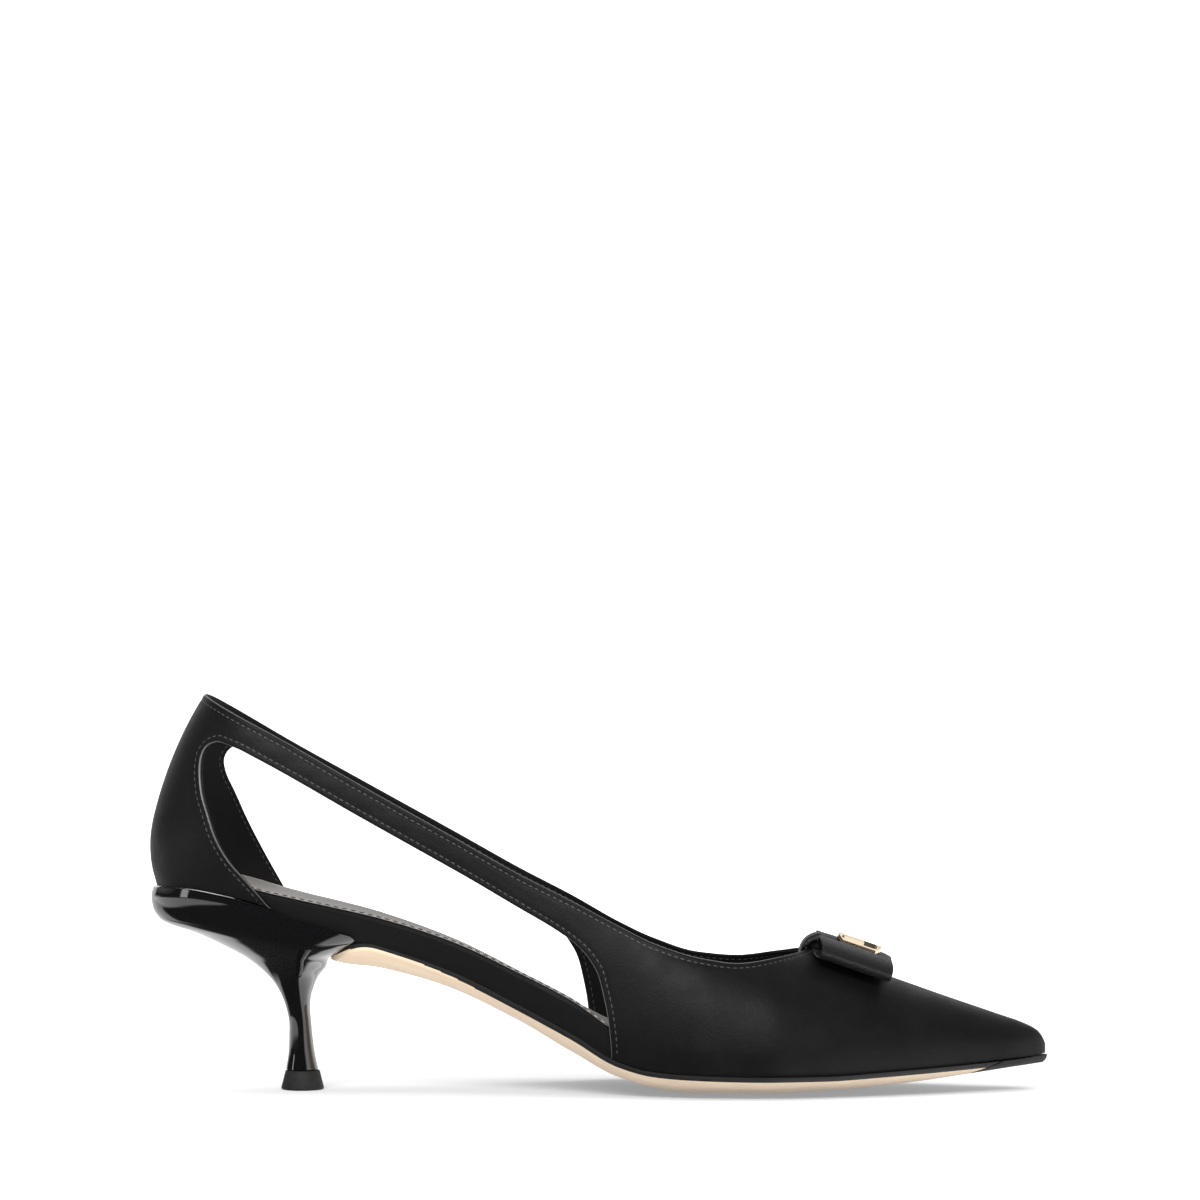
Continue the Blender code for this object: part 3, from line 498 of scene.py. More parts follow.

# Studio: distances in metres, and brightness of the surroundings
# The floor glows: faintly near the shoe, a glow that lightens the shoe's shadow and lights the shoe from
# below, and fully white further out
GLOW_REACH = (0.2, 0.6)
GLOW_NEAR = 0.3
WORLD_SEEN = 1.1
WORLD_DARK = 0.04
FLOOR_REACH = 30.0

# Patches of white that the gloss sees: each way is an axis, or one axis less a share of another
WORLD_SLANTS = {"right": ("x", "z", 0.5), "wedge": ("z", "x", 0.6)}
WORLD_PATCHES = table(
    "name bright ramps",
    ("above", 0.3, (("z", 0.02, 0.25), ("y", -0.25, 0.3))),
    ("behind", 0.8, (("y", 0.68, 0.76),)),
    ("sweep", 0.8, (("y", 0.38, 0.48), ("x", -0.4, -0.6), ("z", 0.05, -0.05))),
    ("panel", 1.4, (("right", 0.52, 0.64), ("z", 0.5, 0.3))),
    ("strip", 1.2, (("x", -0.5, -0.58), ("z", -0.02, -0.05), ("wedge", 0.25, 0.31))),
)
LIGHTS = table(
    "name place target size watts in_gloss metal_only",
    ("front", (-0.2, -1.15, 0.9), (0.0, 0.0, 0.05), (1.2, 0.5), 17.0, True, False),
    ("left_window", (-1.25, -0.4, 0.2), (-0.1, 0.0, 0.05), (0.2, 0.3), 0.5, True, False),
    ("overhead", (0.0, 0.1, 1.3), (0.0, 0.0, 0.0), (1.8, 1.4), 14.0, False, False),
    ("low_fill", (0.1, -1.3, 0.12), (0.0, 0.0, 0.05), (1.4, 0.2), 3.5, False, False),
    ("metal_window", (0.07, 0.2, 1.0), (0.07, 0.0, 0.04), (1.8, 1.6), 7.5, True, True),
)

# Grain of a material: size in millimetres, and stretch along the axes
EVEN = (1.0, 1.0, 1.0)
Grain = namedtuple("Grain", "size detail stretch cells fineness", defaults=(3.0, EVEN, False, 0.55))
GRAIN_VALUES = (0.3, 0.7)
CELL_SMOOTHNESS = 0.4


def blend(a, b, share):
    return a + (b - a) * share


def clamp(value):
    return min(1.0, max(0.0, value))


def share_of(value, low, high):
    """How far a value is on its way from low to high, from 0 to 1."""
    return clamp((value - low) / (high - low))


def curve(rows, key, column):
    """A smooth curve through a table's rows that never overshoots between them."""
    xs = np.array([getattr(row, key) for row in rows])
    ys = np.array([getattr(row, column) for row in rows])
    steps = np.diff(xs)
    slopes = np.diff(ys) / steps
    ends = np.zeros(len(xs))
    ends[0] = slopes[0]
    ends[-1] = slopes[-1]
    for i in range(1, len(xs) - 1):
        if slopes[i - 1] * slopes[i] > 0.0:
            before = 2.0 * steps[i] + steps[i - 1]
            after = steps[i] + 2.0 * steps[i - 1]
            ends[i] = (before + after) / (before / slopes[i - 1] + after / slopes[i])

    def at(x):
        i = int(min(max(np.searchsorted(xs, x) - 1, 0), len(steps) - 1))
        t = float(clamp((x - xs[i]) / steps[i]))
        rise = ys[i] * (1 + 2 * t) * (1 - t) ** 2 + ys[i + 1] * t * t * (3 - 2 * t)
        bend = ends[i] * t * (1 - t) ** 2 - ends[i + 1] * t * t * (1 - t)
        return float(rise + steps[i] * bend)

    return at


def by_side(rows, inner, outer):
    """A pair of curves over x, one for each side of the shoe."""
    return {MEDIAL: curve(rows, "x", inner), LATERAL: curve(rows, "x", outer)}


sole_width = by_side(GIRTHS, "sole_in", "sole_out")
body_width = by_side(GIRTHS, "body_in", "body_out")
fullness = curve(GIRTHS, "x", "fullness")
feather_height = by_side(FEATHERS, "inner", "outer")
crown = curve(FEATHERS, "x", "crown")
ridge_height = curve(RIDGES, "x", "z")
topline_height = by_side(TOPLINES, "inner", "outer")
board_edge = by_side(BOARDS, "inner", "outer")
heel_drop = curve(HEEL_DROPS, "x", "down")
ribbon_front = curve(RIBBON_EDGES, "across", "front")
ribbon_rear = curve(RIBBON_EDGES, "across", "rear")


def nose(x, tip):
    """Share of the taper's width that is left as the toe rounds off."""
    run = (x - NOSE_X) / (tip - NOSE_X)
    return math.sqrt(max(0.0, 1.0 - max(0.0, run) ** 2))


def arch(body, height, power, tuck, tuck_height, up):
    """Reach of one section of the last, up millimetres above the sole edge."""
    share = clamp(up / height)
    below = max(0.0, 1.0 - up / tuck_height)
    return body * (1.0 - share ** power) ** (1.0 / power) - tuck * below * below


def side_reach(x, side, up, inset):
    """Half width of the last at x, up above the sole edge, less the inset."""
    round_off = nose(x, TOE_X)
    body = body_width[side](x) * round_off
    tuck = body - sole_width[side](x) * round_off
    height = ridge_height(x) - feather_height[side](x) - inset
    front = share_of(x, TUCK_FROM, TUCK_TO)
    tuck_height = min(blend(BACK_TUCK_HEIGHT, TUCK_HEIGHT, front), TUCK_SHARE * height)
    body = max(body - inset, SLIVER) if inset > 0.0 else body
    return arch(body, max(height, SLIVER), fullness(x), tuck, tuck_height, up)


def back_reach(up, inset):
    """Reach of the counter's middle section behind the seat's centre."""
    return arch(BACK_BODY - inset, BACK_HEIGHT, BACK_FULLNESS, BACK_TUCK, BACK_TUCK_HEIGHT, up)


def half_width(x, side, up=0.0, inset=0.0):
    """Half width at x, with the round of the heel behind the seat's centre."""
    if x >= SEAT_X:
        return side_reach(x, side, up, inset)
    run = min(1.0, (SEAT_X - x) / back_reach(up, inset))
    return side_reach(SEAT_X, side, up, inset) * (1.0 - run ** SEAT_ROUND) ** (1.0 / SEAT_ROUND)


def wall_point(place, side, up, inset=0.0):
    """Point of the upper: place 0 to 1 turns round the heel, then place is 1 + x from the seat."""
    if place >= 1.0:
        x = SEAT_X + place - 1.0
        return Vector((x, side * side_reach(x, side, up, inset), feather_height[side](x) + up))
    turn = place * math.pi / 2.0
    along = math.cos(turn)
    across = math.sin(turn)

    def radius(rise):
        back = along / back_reach(rise, inset)
        flank = across / side_reach(SEAT_X, side, rise, inset)
        return (back ** SEAT_ROUND + flank ** SEAT_ROUND) ** (-1.0 / SEAT_ROUND)

    foot_x = SEAT_X - radius(0.0) * along
    reach = radius(up)
    return Vector((SEAT_X - reach * along, side * reach * across, feather_height[side](foot_x) + up))


def side_of(y):
    return MEDIAL if y < 0.0 else LATERAL


def seat(x, y):
    """Height of the surface between the foot and the sole: insole, heel and sole share it."""
    side = side_of(y)
    share = min(1.0, abs(y) / max(half_width(x, side), LEAST_WIDTH)) * side
    edge = blend(feather_height[MEDIAL](x), feather_height[LATERAL](x), (share + 1.0) / 2.0)
    return edge - crown(x) * (1.0 - abs(share) ** CROWN_POWER)


def add_object(name, data):
    made = bpy.data.objects.new(name, data)
    bpy.context.scene.collection.objects.link(made)
    return made


def smooth(mesh):
    """Smooth shading with sharp creases."""
    mesh.shade_smooth()
    mesh.set_sharp_from_angle(angle=math.radians(SHARP_ANGLE))


def mesh_object(name, points, faces, materials, face_materials=None):
    """An object from points in millimetres, welded, with its faces pointing out."""
    mesh = bpy.data.meshes.new(name)
    mesh.from_pydata([tuple(c * MM for c in p) for p in points], [], faces)
    for finish in materials:
        mesh.materials.append(finish)
    if face_materials:
        mesh.polygons.foreach_set("material_index", face_materials)
    work = bmesh.new()
    work.from_mesh(mesh)
    bmesh.ops.remove_doubles(work, verts=work.verts, dist=WELD * MM)
    bmesh.ops.dissolve_degenerate(work, edges=work.edges, dist=WELD * MM)
    bmesh.ops.recalc_face_normals(work, faces=work.faces)
    work.to_mesh(mesh)
    work.free()
    smooth(mesh)
    return add_object(name, mesh)


def ring_faces(rings, count):
    """Quads round a stack of closed rings, and one cap at each end."""
    faces = []
    for i in range(rings - 1):
        for j in range(count):
            k = (j + 1) % count
            faces.append((i * count + j, i * count + k, (i + 1) * count + k, (i + 1) * count + j))
    for first in (0, (rings - 1) * count):
        faces.append(tuple(range(first, first + count)))
    return faces


def loft(name, rings, materials, ring_materials=None):
    """A closed solid through rings of points; ring_materials gives a finish to each quad of a ring."""
    count = len(rings[0])
    points = [p for ring in rings for p in ring]
    faces = ring_faces(len(rings), count)
    indices = None
    if ring_materials:
        indices = list(ring_materials) * (len(rings) - 1) + [0, 0]
    return mesh_object(name, points, faces, materials, indices)


def slab(
    name, stations, half, top, bottom, materials, bulge=0.0, rounding=0.0, border=0, edge_finish=1,
    count=SLAB_POINTS,
):
    """A solid between two height surfaces, its edge bulged or its upper rim rounded.

    A second material is for the edge and for a border of that many faces along the top.
    """
    shares = np.sin(np.linspace(-math.pi / 2.0, math.pi / 2.0, count))
    walls = np.linspace(0.0, 1.0, EDGE_POINTS)[1:-1]
    rings = []
    for x in stations:
        under = []
        over = []
        flanks = {}
        for share in shares:
            side = side_of(share)
            y_low = share * half(x, side, 0.0)
            y_high = share * max(half(x, side, 1.0) - rounding, SLIVER / 2.0)
            under.append((x, y_low, bottom(x, y_low)))
            over.append((x, y_high, top(x, y_high)))
        for side in SIDES:
            low = under[0] if side == MEDIAL else under[-1]
            high = over[0] if side == MEDIAL else over[-1]
            turn = min(1.0, rounding / max(high[2] - low[2], SLIVER))
            flank = []
            for level in walls:
                past = max(0.0, level - 1.0 + turn) / max(turn, 0.001)
                inside = rounding * (1.0 - math.sqrt(max(0.0, 1.0 - past * past)))
                reach = half(x, side, level) + bulge * math.sin(level * math.pi) - inside
                flank.append((x, side * max(reach, SLIVER / 2.0), blend(low[2], high[2], level)))
            flanks[side] = flank
        rings.append(under + flanks[LATERAL] + over[::-1] + flanks[MEDIAL][::-1])
    edge = [edge_finish] * (len(walls) + 1)
    over_faces = [1] * border + [0] * (count - 1 - 2 * border) + [1] * border
    faces = [0] * (count - 1) + edge + over_faces + edge
    return loft(name, rings, materials, faces if len(materials) > 1 else None)


def cut(target, cutter, operation="DIFFERENCE"):
    """Applies a cut at once and takes the cutter away."""
    step = target.modifiers.new(cutter.name, "BOOLEAN")
    step.object = cutter
    step.operation = operation
    step.solver = "EXACT"
    seen = target.evaluated_get(bpy.context.evaluated_depsgraph_get())
    mesh = bpy.data.meshes.new_from_object(seen)
    target.modifiers.clear()
    target.data = mesh
    smooth(mesh)
    bpy.data.objects.remove(cutter, do_unlink=True)


def attach(piece):
    """A piece of its own that rides on the shoe."""
    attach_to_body(piece, "root")


def replace(piece, node):
    """The piece stands for a CAD node and rides on the shoe."""
    attach(piece)
    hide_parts(node)


def add_node(tree, kind, inputs, **settings):
    """A shader node; each input takes a link from a socket, or a plain value."""
    node = tree.nodes.new("ShaderNode" + kind)
    for name, value in settings.items():
        setattr(node, name, value)
    for key, value in inputs.items():
        if isinstance(value, bpy.types.NodeSocket):
            tree.links.new(value, node.inputs[key])
        else:
            node.inputs[key].default_value = value
    return node


def grain_node(tree, grain):
    """Noise, or cells as in leather, of about the grain's size in millimetres."""
    place = add_node(tree, "TexCoord", {}).outputs["Object"]
    scale = [stretch / MM for stretch in grain.stretch]
    place = add_node(tree, "Mapping", {"Vector": place, "Scale": scale}).outputs["Vector"]
    inputs = {"Vector": place, "Scale": 1.0 / grain.size}
    if grain.cells:
        inputs["Smoothness"] = CELL_SMOOTHNESS
        return add_node(tree, "TexVoronoi", inputs, feature="SMOOTH_F1").outputs["Distance"]
    inputs["Detail"] = grain.detail
    inputs["Roughness"] = grain.fineness
    return add_node(tree, "TexNoise", inputs).outputs["Fac"]


def remap_node(tree, grain, low, high):
    """Takes the usual values of a grain to low and high."""
    inputs = {"Value": grain_node(tree, grain), "To Min": low, "To Max": high}
    inputs["From Min"], inputs["From Max"] = GRAIN_VALUES
    return add_node(tree, "MapRange", inputs).outputs["Result"]


def make_material(name, colour, roughness, specular=0.5, shade=None, gloss=None, reliefs=(), **sockets):
    """A Principled material.

    A shade is a grain with a dark and a light colour, a gloss is a grain with a low and a high
    roughness, and each relief is a grain with a depth in millimetres.
    """
    made = bpy.data.materials.new(name)
    made.use_nodes = True
    tree = made.node_tree
    inputs = tree.nodes["Principled BSDF"].inputs
    inputs["Base Color"].default_value = (*colour, 1.0)
    inputs["Roughness"].default_value = roughness
    inputs["Specular IOR Level"].default_value = specular
    for socket, value in sockets.items():
        inputs[socket.replace("_", " ").title()].default_value = value
    if shade:
        grain, dark, light = shade
        colours = {"Factor": remap_node(tree, grain, 0.0, 1.0), "A": (*dark, 1.0), "B": (*light, 1.0)}
        mix = add_node(tree, "Mix", colours, data_type="RGBA")
        tree.links.new(mix.outputs["Result"], inputs["Base Color"])
    if gloss:
        tree.links.new(remap_node(tree, *gloss), inputs["Roughness"])
    below = {}
    for grain, depth in reliefs:
        relief = {"Strength": 1.0, "Distance": depth * MM, "Height": grain_node(tree, grain), **below}
        below["Normal"] = add_node(tree, "Bump", relief).outputs["Normal"]
        tree.links.new(below["Normal"], inputs["Normal"])
    return made


def satin_material():
    """Black satin leather: fine grain, a soft sheen and a slow wander of gloss."""
    return make_material(
        "satin_black", (0.005, 0.005, 0.0055), 0.44, 0.16,
        shade=(Grain(14.0), (0.0045, 0.0045, 0.005), (0.007, 0.007, 0.0075)),
        gloss=(Grain(5.0), 0.4, 0.5),
        reliefs=((Grain(0.35, 4.0), 0.03), (Grain(0.5, cells=True), 0.035)),
        sheen_weight=0.01, sheen_roughness=0.4,
    )


def lining_material():
    """Smooth black lining leather."""
    return make_material(
        "lining_black", (0.006, 0.006, 0.006), 0.5, 0.12,
        gloss=(Grain(4.0), 0.44, 0.58),
        reliefs=((Grain(0.6, cells=True), 0.03),),
    )


def wrap_material():
    """Black leather wrapped round the edge of the insole."""
    along = (0.6, 1.0, 1.0)
    return make_material(
        "wrap_black", (0.008, 0.008, 0.008), 0.4, 0.15,
        gloss=(Grain(4.0, stretch=along), 0.36, 0.48),
        reliefs=((Grain(0.55, stretch=along, cells=True), 0.035),),
    )


def sock_material():
    """Warm grey lining leather with fine pores."""
    return make_material(
        "sock_leather", (0.25, 0.238, 0.23), 0.55, 0.2,
        shade=(Grain(6.0), (0.232, 0.22, 0.212), (0.272, 0.259, 0.25)),
        reliefs=((Grain(0.6, cells=True), 0.05),),
    )


def rim_material():
    """Pale border of the sock leather."""
    fibres = Grain(0.4, 4.0, (0.3, 1.0, 1.0))
    return make_material(
        "sock_edge", (0.62, 0.53, 0.44), 0.65, 0.3,
        shade=(fibres, (0.56, 0.47, 0.38), (0.68, 0.59, 0.5)),
        reliefs=((fibres, 0.05),),
    )


def sole_material():
    """Beige sole leather with faint streaks along the shoe."""
    return make_material(
        "sole_leather", (0.8, 0.63, 0.46), 0.48, 0.3,
        shade=(Grain(3.0, stretch=(0.15, 1.0, 1.0)), (0.77, 0.6, 0.43), (0.83, 0.66, 0.49)),
        reliefs=((Grain(0.4, 4.0), 0.03),),
    )


def edge_material():
    """Black paint on the edge of the sole, a little uneven."""
    along = (0.4, 1.0, 1.0)
    return make_material(
        "edge_paint", (0.016, 0.016, 0.016), 0.45, 0.3,
        gloss=(Grain(2.0, stretch=along), 0.36, 0.55),
        reliefs=((Grain(0.5, 4.0, along), 0.05),),
    )


def rubber_material():
    """Matte black rubber with a fine moulded grain."""
    return make_material(
        "rubber_black", (0.018, 0.018, 0.018), 0.62, 0.25,
        shade=(Grain(2.5), (0.015, 0.015, 0.015), (0.021, 0.021, 0.021)),
        reliefs=((Grain(0.25, 4.0), 0.04),),
    )


def lacquer_material():
    """Deep black lacquer under a clear coat, with a barely uneven polish."""
    return make_material(
        "heel_lacquer", (0.003, 0.003, 0.0035), 0.08,
        gloss=(Grain(3.0), 0.05, 0.12),
        reliefs=((Grain(9.0, 1.0), 0.012),),
        coat_weight=1.0, coat_roughness=0.02,
    )


def ribbon_material():
    """Black ribbon with fine ribs along the shoe."""
    ribs = Grain(1.0, 2.0, (0.12, 2.6, 2.6), fineness=0.5)
    return make_material(
        "ribbon_black", (0.01, 0.01, 0.0105), 0.42, 0.25,
        gloss=(ribs, 0.34, 0.48),
        reliefs=((ribs, 0.12),),
        sheen_weight=0.03, sheen_roughness=0.35,
    )


def highlight_edge_material():
    """Burnished edge of the upper's leather, glossier than its face; its lighter colour is a painted
    highlight along the edge.
    """
    return make_material(
        "edge_painted_highlight", (0.09, 0.09, 0.09), 0.32, 0.8,
        gloss=(Grain(1.5), 0.26, 0.42),
        reliefs=((Grain(0.3), 0.03),),
    )


def thread_material(name, colour):
    """Waxed thread with a fine twist."""
    return make_material(name, colour, 0.45, reliefs=((Grain(0.2, 2.0), 0.03),))


def gold_material():
    """Pale gold plate, finely brushed along its length."""
    brushed = Grain(0.5, stretch=(0.08, 3.0, 3.0))
    return make_material(
        "pale_gold", (0.88, 0.73, 0.53), 0.22,
        gloss=(brushed, 0.18, 0.32),
        reliefs=((brushed, 0.003),),
        metallic=1.0,
    )


def cavity_place(place):
    """Place on the inner face that backs a place on the outer one: it stops short of the toe."""
    run = max(0.0, place - 1.0) / (TOE_X - SEAT_X)
    return place - (TOE_X - CAVITY_TOE_X) * run ** CAVITY_POWER


def sheet_place(u):
    """Place of a point of the flat sheet."""
    if u < 0.0:
        return max(0.0, 1.0 + u / FAN_LENGTH)
    straight = NOSE_X - SEAT_X
    if u <= straight:
        return 1.0 + u
    turn = min(1.0, (u - straight) / NOSE_LENGTH) * math.pi / 2.0
    return 1.0 + straight + (TOE_X - NOSE_X) * math.sin(turn)


def sheet_height(place, side):
    """Height that the whole of v stands for at a place."""
    x = SEAT_X + max(0.0, place - 1.0)
    flank = ridge_height(x) - feather_height[side](x)
    return flank if place >= 1.0 else blend(BACK_HEIGHT, flank, place)


def rise_power(place):
    return fullness(SEAT_X + place - 1.0)


def rise_share(place, v):
    turn = clamp(v / RISE_LENGTH) * math.pi / 2.0
    return math.sin(turn) ** (2.0 / rise_power(place))


def sheet_spot(place, up, side):
    """Point of the flat sheet at a place, up above the sole edge."""
    share = clamp(up / sheet_height(place, side))
    v = math.asin(share ** (rise_power(place) / 2.0)) * 2.0 / math.pi * RISE_LENGTH
    u = (place - 1.0) * FAN_LENGTH if place < 1.0 else place - 1.0
    return u, v


def outer_point(u, v, side):
    place = sheet_place(u)
    return wall_point(place, side, rise_share(place, v) * sheet_height(place, side))


def inner_point(u, v, side):
    """Point of the lining behind a point of the outer face."""
    place = sheet_place(u)
    share = rise_share(place, v)
    spot = cavity_place(place)
    point = wall_point(spot, side, share * sheet_height(spot, side) - WALL * share ** RIM_TURN, WALL)
    past = max(0.0, point.x - CAVITY_CLOSE_X) / (CAVITY_TOE_X - CAVITY_CLOSE_X)
    point.y *= math.sqrt(max(0.0, 1.0 - past * past))
    return point


def topline_up(place, side):
    """Height above the sole edge where the wall ends at the topline."""
    low = 0.0
    high = sheet_height(place, side)
    for _ in range(HALVINGS):
        middle = (low + high) / 2.0
        point = wall_point(place, side, middle)
        if point.z < topline_height[side](point.x):
            low = middle
        else:
            high = middle
    return low


def foot_of(x, z, side):
    """Place and height above the sole edge of a point of the outer face in the side view."""
    up = z - feather_height[side](x)
    if x >= SEAT_X:
        return 1.0 + x - SEAT_X, up
    place = 0.5
    for _ in range(FOOT_PASSES):
        low = 0.0
        high = 1.0
        for _ in range(FOOT_HALVINGS):
            place = (low + high) / 2.0
            if wall_point(place, side, max(up, 0.0)).x < x:
                low = place
            else:
                high = place
        up += z - wall_point(place, side, max(up, 0.0)).z - min(up, 0.0)
    return place, up


def lengths_along(line):
    """Length along a line up to each of its points."""
    return np.concatenate(([0.0], np.cumsum(np.linalg.norm(np.diff(line, axis=0), axis=1))))


def nearest(spots, line):
    """Distance from each spot to the nearest point of a line."""
    return np.array([np.min(np.linalg.norm(line - spot, axis=1)) for spot in spots])


def resample(line, step):
    """Points at even steps along a line."""
    line = np.array(line)
    lengths = lengths_along(line)
    count = max(2, int(round(lengths[-1] / step)) + 1)
    marks = np.linspace(0.0, lengths[-1], count)
    return np.stack([np.interp(marks, lengths, line[:, k]) for k in range(line.shape[1])], axis=1)


def soften(line, passes):
    """Rounds small corners of a line; its ends stay."""
    line = line.copy()
    for _ in range(passes):
        line[1:-1] = (line[:-2] + 2.0 * line[1:-1] + line[2:]) / 4.0
    return line


def strap_bottom(x, side):
    """Lower edge of the strap: it widens toward the vamp."""
    share = share_of(x, STRAP_GROWS_FROM, STRAP_GROWS_TO)
    return topline_height[side](x) - STRAP_DROP - STRAP_GROWTH * share * share


def window_line(side):
    """Window in the side view: up the counter edge, along the strap, and down the vamp edge."""
    counter = INNER_COUNTER_EDGE if side == MEDIAL else OUTER_COUNTER_EDGE
    counter_x = curve(counter, "z", "x")
    vamp_x = curve(VAMP_EDGE, "z", "x")
    line = [(counter_x(z), z) for z in np.linspace(counter[0].z, counter[-1].z, WINDOW_STEPS)]
    corner_x = VAMP_EDGE[-1].x + VAMP_SHIFT[side]
    for x in np.linspace(STRAP_FROM[side], corner_x, WINDOW_STEPS)[:-1]:
        line.append((x, strap_bottom(x, side)))
    lift = strap_bottom(corner_x, side) - VAMP_EDGE[-1].z
    for z in np.linspace(VAMP_EDGE[-1].z, VAMP_EDGE[0].z, WINDOW_STEPS):
        share = (z / VAMP_EDGE[-1].z) ** CORNER_POWER
        line.append((vamp_x(z) + VAMP_SHIFT[side], z + lift * share))
    return soften(resample(line, LINE_STEP), LINE_PASSES)


def window_edge(side):
    """Window's edge on the flat sheet, from the sole edge up and round to the sole edge again."""
    spots = [foot_of(x, z, side) for x, z in resample(window_line(side), EDGE_STEP)]
    first = next(i for i, spot in enumerate(spots) if spot[1] > 0.0)
    last = len(spots) - 1 - next(i for i, spot in enumerate(spots[::-1]) if spot[1] > 0.0)
    line = [sheet_spot(place, up, side) for place, up in spots[first:last + 1]]
    for end, inner, outer in ((0, first, first - 1), (len(line), last, last + 1)):
        share = spots[inner][1] / (spots[inner][1] - spots[outer][1])
        place = blend(spots[inner][0], spots[outer][0], share)
        line.insert(end + (1 if end else 0), sheet_spot(place, 0.0, side))
    return np.array(line)


def topline_edge(side):
    """Topline on the flat sheet, from the throat to the back seam."""
    xs = [THROAT_X - THROAT_RUN * (i / THROAT_STEPS) ** 2 for i in range(1, THROAT_STEPS)]
    xs += list(np.arange(THROAT_X - THROAT_RUN, SEAT_X, -EDGE_STEP))
    places = [1.0 + x - SEAT_X for x in xs]
    places += list(np.arange(1.0, 0.0, -EDGE_STEP / FAN_LENGTH)) + [0.0]
    line = [(THROAT_X - SEAT_X, RISE_LENGTH)]
    line += [sheet_spot(place, topline_up(place, side), side) for place in places]
    return np.array(line)


def inward(line, first=None, last=None):
    """Directions to the left of a line on the sheet; the ends may be given."""
    tangent = np.gradient(line, axis=0)
    normal = np.stack([-tangent[:, 1], tangent[:, 0]], axis=1)
    normal /= np.linalg.norm(normal, axis=1)[:, None]
    if first is not None:
        normal[0] = first
    if last is not None:
        normal[-1] = last
    return normal


def shifted(line, normals, side, distance):
    """The line moved inward on the surface by a distance in millimetres."""
    moved = []
    for (u, v), (nu, nv) in zip(line, normals):
        ahead = outer_point(u + nu * PROBE, v + nv * PROBE, side)
        stretch = max((ahead - outer_point(u, v, side)).length / PROBE, LEAST_STRETCH)
        moved.append((u + nu * distance / stretch, v + nv * distance / stretch))
    moved = np.array(moved)
    moved[:, 1] = np.clip(moved[:, 1], 0.0, RISE_LENGTH)
    return moved


def inside_polygon(points, polygon):
    """Which points lie inside a closed outline."""
    x = points[:, 0]
    y = points[:, 1]
    inside = np.zeros(len(points), bool)
    for a, b in zip(polygon, np.roll(polygon, -1, axis=0)):
        crosses = (a[1] > y) != (b[1] > y)
        rise = b[1] - a[1] if b[1] != a[1] else 1.0
        inside ^= crosses & (x < (b[0] - a[0]) * (y - a[1]) / rise + a[0])
    return inside


def run_line(start, end, step):
    """Even points on the sheet from start to end, without the two ends."""
    count = max(2, int(round(math.dist(start, end) / step)))
    return np.linspace(start, end, count + 1)[1:-1]


HalfUpper = namedtuple("HalfUpper", "outline rims rows grid")


def half_upper(side):
    """One half of the upper on the flat sheet: outline, rim spans, fold rows and inner points."""
    window = window_edge(side)
    topline = topline_edge(side)
    window_in = inward(window)
    topline_in = inward(topline, (1.0, 0.0), (0.0, -1.0))
    window_line_in = shifted(window, window_in, side, EDGE_ROUND)
    window_line_in[0, 1] = 0.0
    window_line_in[-1, 1] = 0.0
    topline_line_in = shifted(topline, topline_in, side, EDGE_ROUND)
    toe = NOSE_X - SEAT_X + NOSE_LENGTH
    back_foot = (-FAN_LENGTH, 0.0)
    toe_foot = (toe, 0.0)
    toe_top = (toe, RISE_LENGTH)
    spans = (
        np.array([back_foot]),
        run_line(back_foot, window_line_in[0], SHEET_STEP),
        window_line_in,
        run_line(window_line_in[-1], toe_foot, SHEET_STEP),
        np.array([toe_foot]),
        run_line(toe_foot, toe_top, TOE_STEP),
        np.array([toe_top]),
        run_line(toe_top, topline_line_in[0], SHEET_STEP),
        topline_line_in,
        run_line(topline_line_in[-1], back_foot, SHEET_STEP),
    )
    outline = np.concatenate(spans)
    starts = np.cumsum([0] + [len(span) for span in spans])
    rims = (
        (starts[2], window, window_in),
        (starts[8], topline, topline_in),
    )
    rows = []
    for line, normals in ((window_line_in, window_in), (topline_line_in, topline_in)):
        for fold in FOLD_ROWS:
            rows.append((shifted(line, normals, side, fold.inside), fold.lift))
    us = np.arange(-FAN_LENGTH + SHEET_STEP, toe, SHEET_STEP)
    vs = np.arange(SHEET_STEP, RISE_LENGTH, SHEET_STEP * ROW_SHARE)
    grid = np.array([(u + SHEET_STEP / 2.0 * (k % 2), v) for k, v in enumerate(vs) for u in us])
    grid = grid[inside_polygon(grid, outline)]
    grid = grid[nearest(grid, outline) > SHEET_STEP * CLEAR_SHARE]
    edge_points = np.array([outer_point(u, v, side) for u, v in np.concatenate((window, topline))])
    grid_points = np.array([outer_point(u, v, side) for u, v in grid])
    clear = nearest(grid_points, edge_points) > GRID_CLEAR
    return HalfUpper(outline, rims, rows, grid[clear])


def surface_normal(u, v, side):
    along = outer_point(u + NORMAL_PROBE, v, side) - outer_point(u - NORMAL_PROBE, v, side)
    rise = outer_point(u, v + NORMAL_PROBE, side) - outer_point(u, v - NORMAL_PROBE, side)
    normal = along.cross(rise)
    return normal.normalized() * -side


def sheet_spots(half):
    """Flat points of one half, outline first, and how far each is lifted off the surface."""
    spots = list(half.outline)
    lifts = [0.0] * len(spots)
    for line, lift in half.rows:
        keep = inside_polygon(line, half.outline)
        keep &= nearest(line, half.outline) > FOLD_CLEAR
        spots += list(line[keep])
        lifts += [lift] * int(keep.sum())
    return spots + list(half.grid), lifts + [0.0] * len(half.grid)


def rim_column(points, outer, inner, spot, normal, side):
    """Points round the rim from the outer to the inner face, added to points."""
    u, v = spot
    ahead = outer_point(u + normal[0] * PROBE, v + normal[1] * PROBE, side)
    out = (outer_point(u, v, side) - ahead).normalized()
    column = [outer]
    for row in EDGE_ROWS:
        point = points[outer].lerp(points[inner], row.through) + out * (EDGE_ROUND * row.out)
        if abs(points[outer].y) < WELD:
            point.y = 0.0
        column.append(len(points))
        points.append(point)
    return column + [inner]


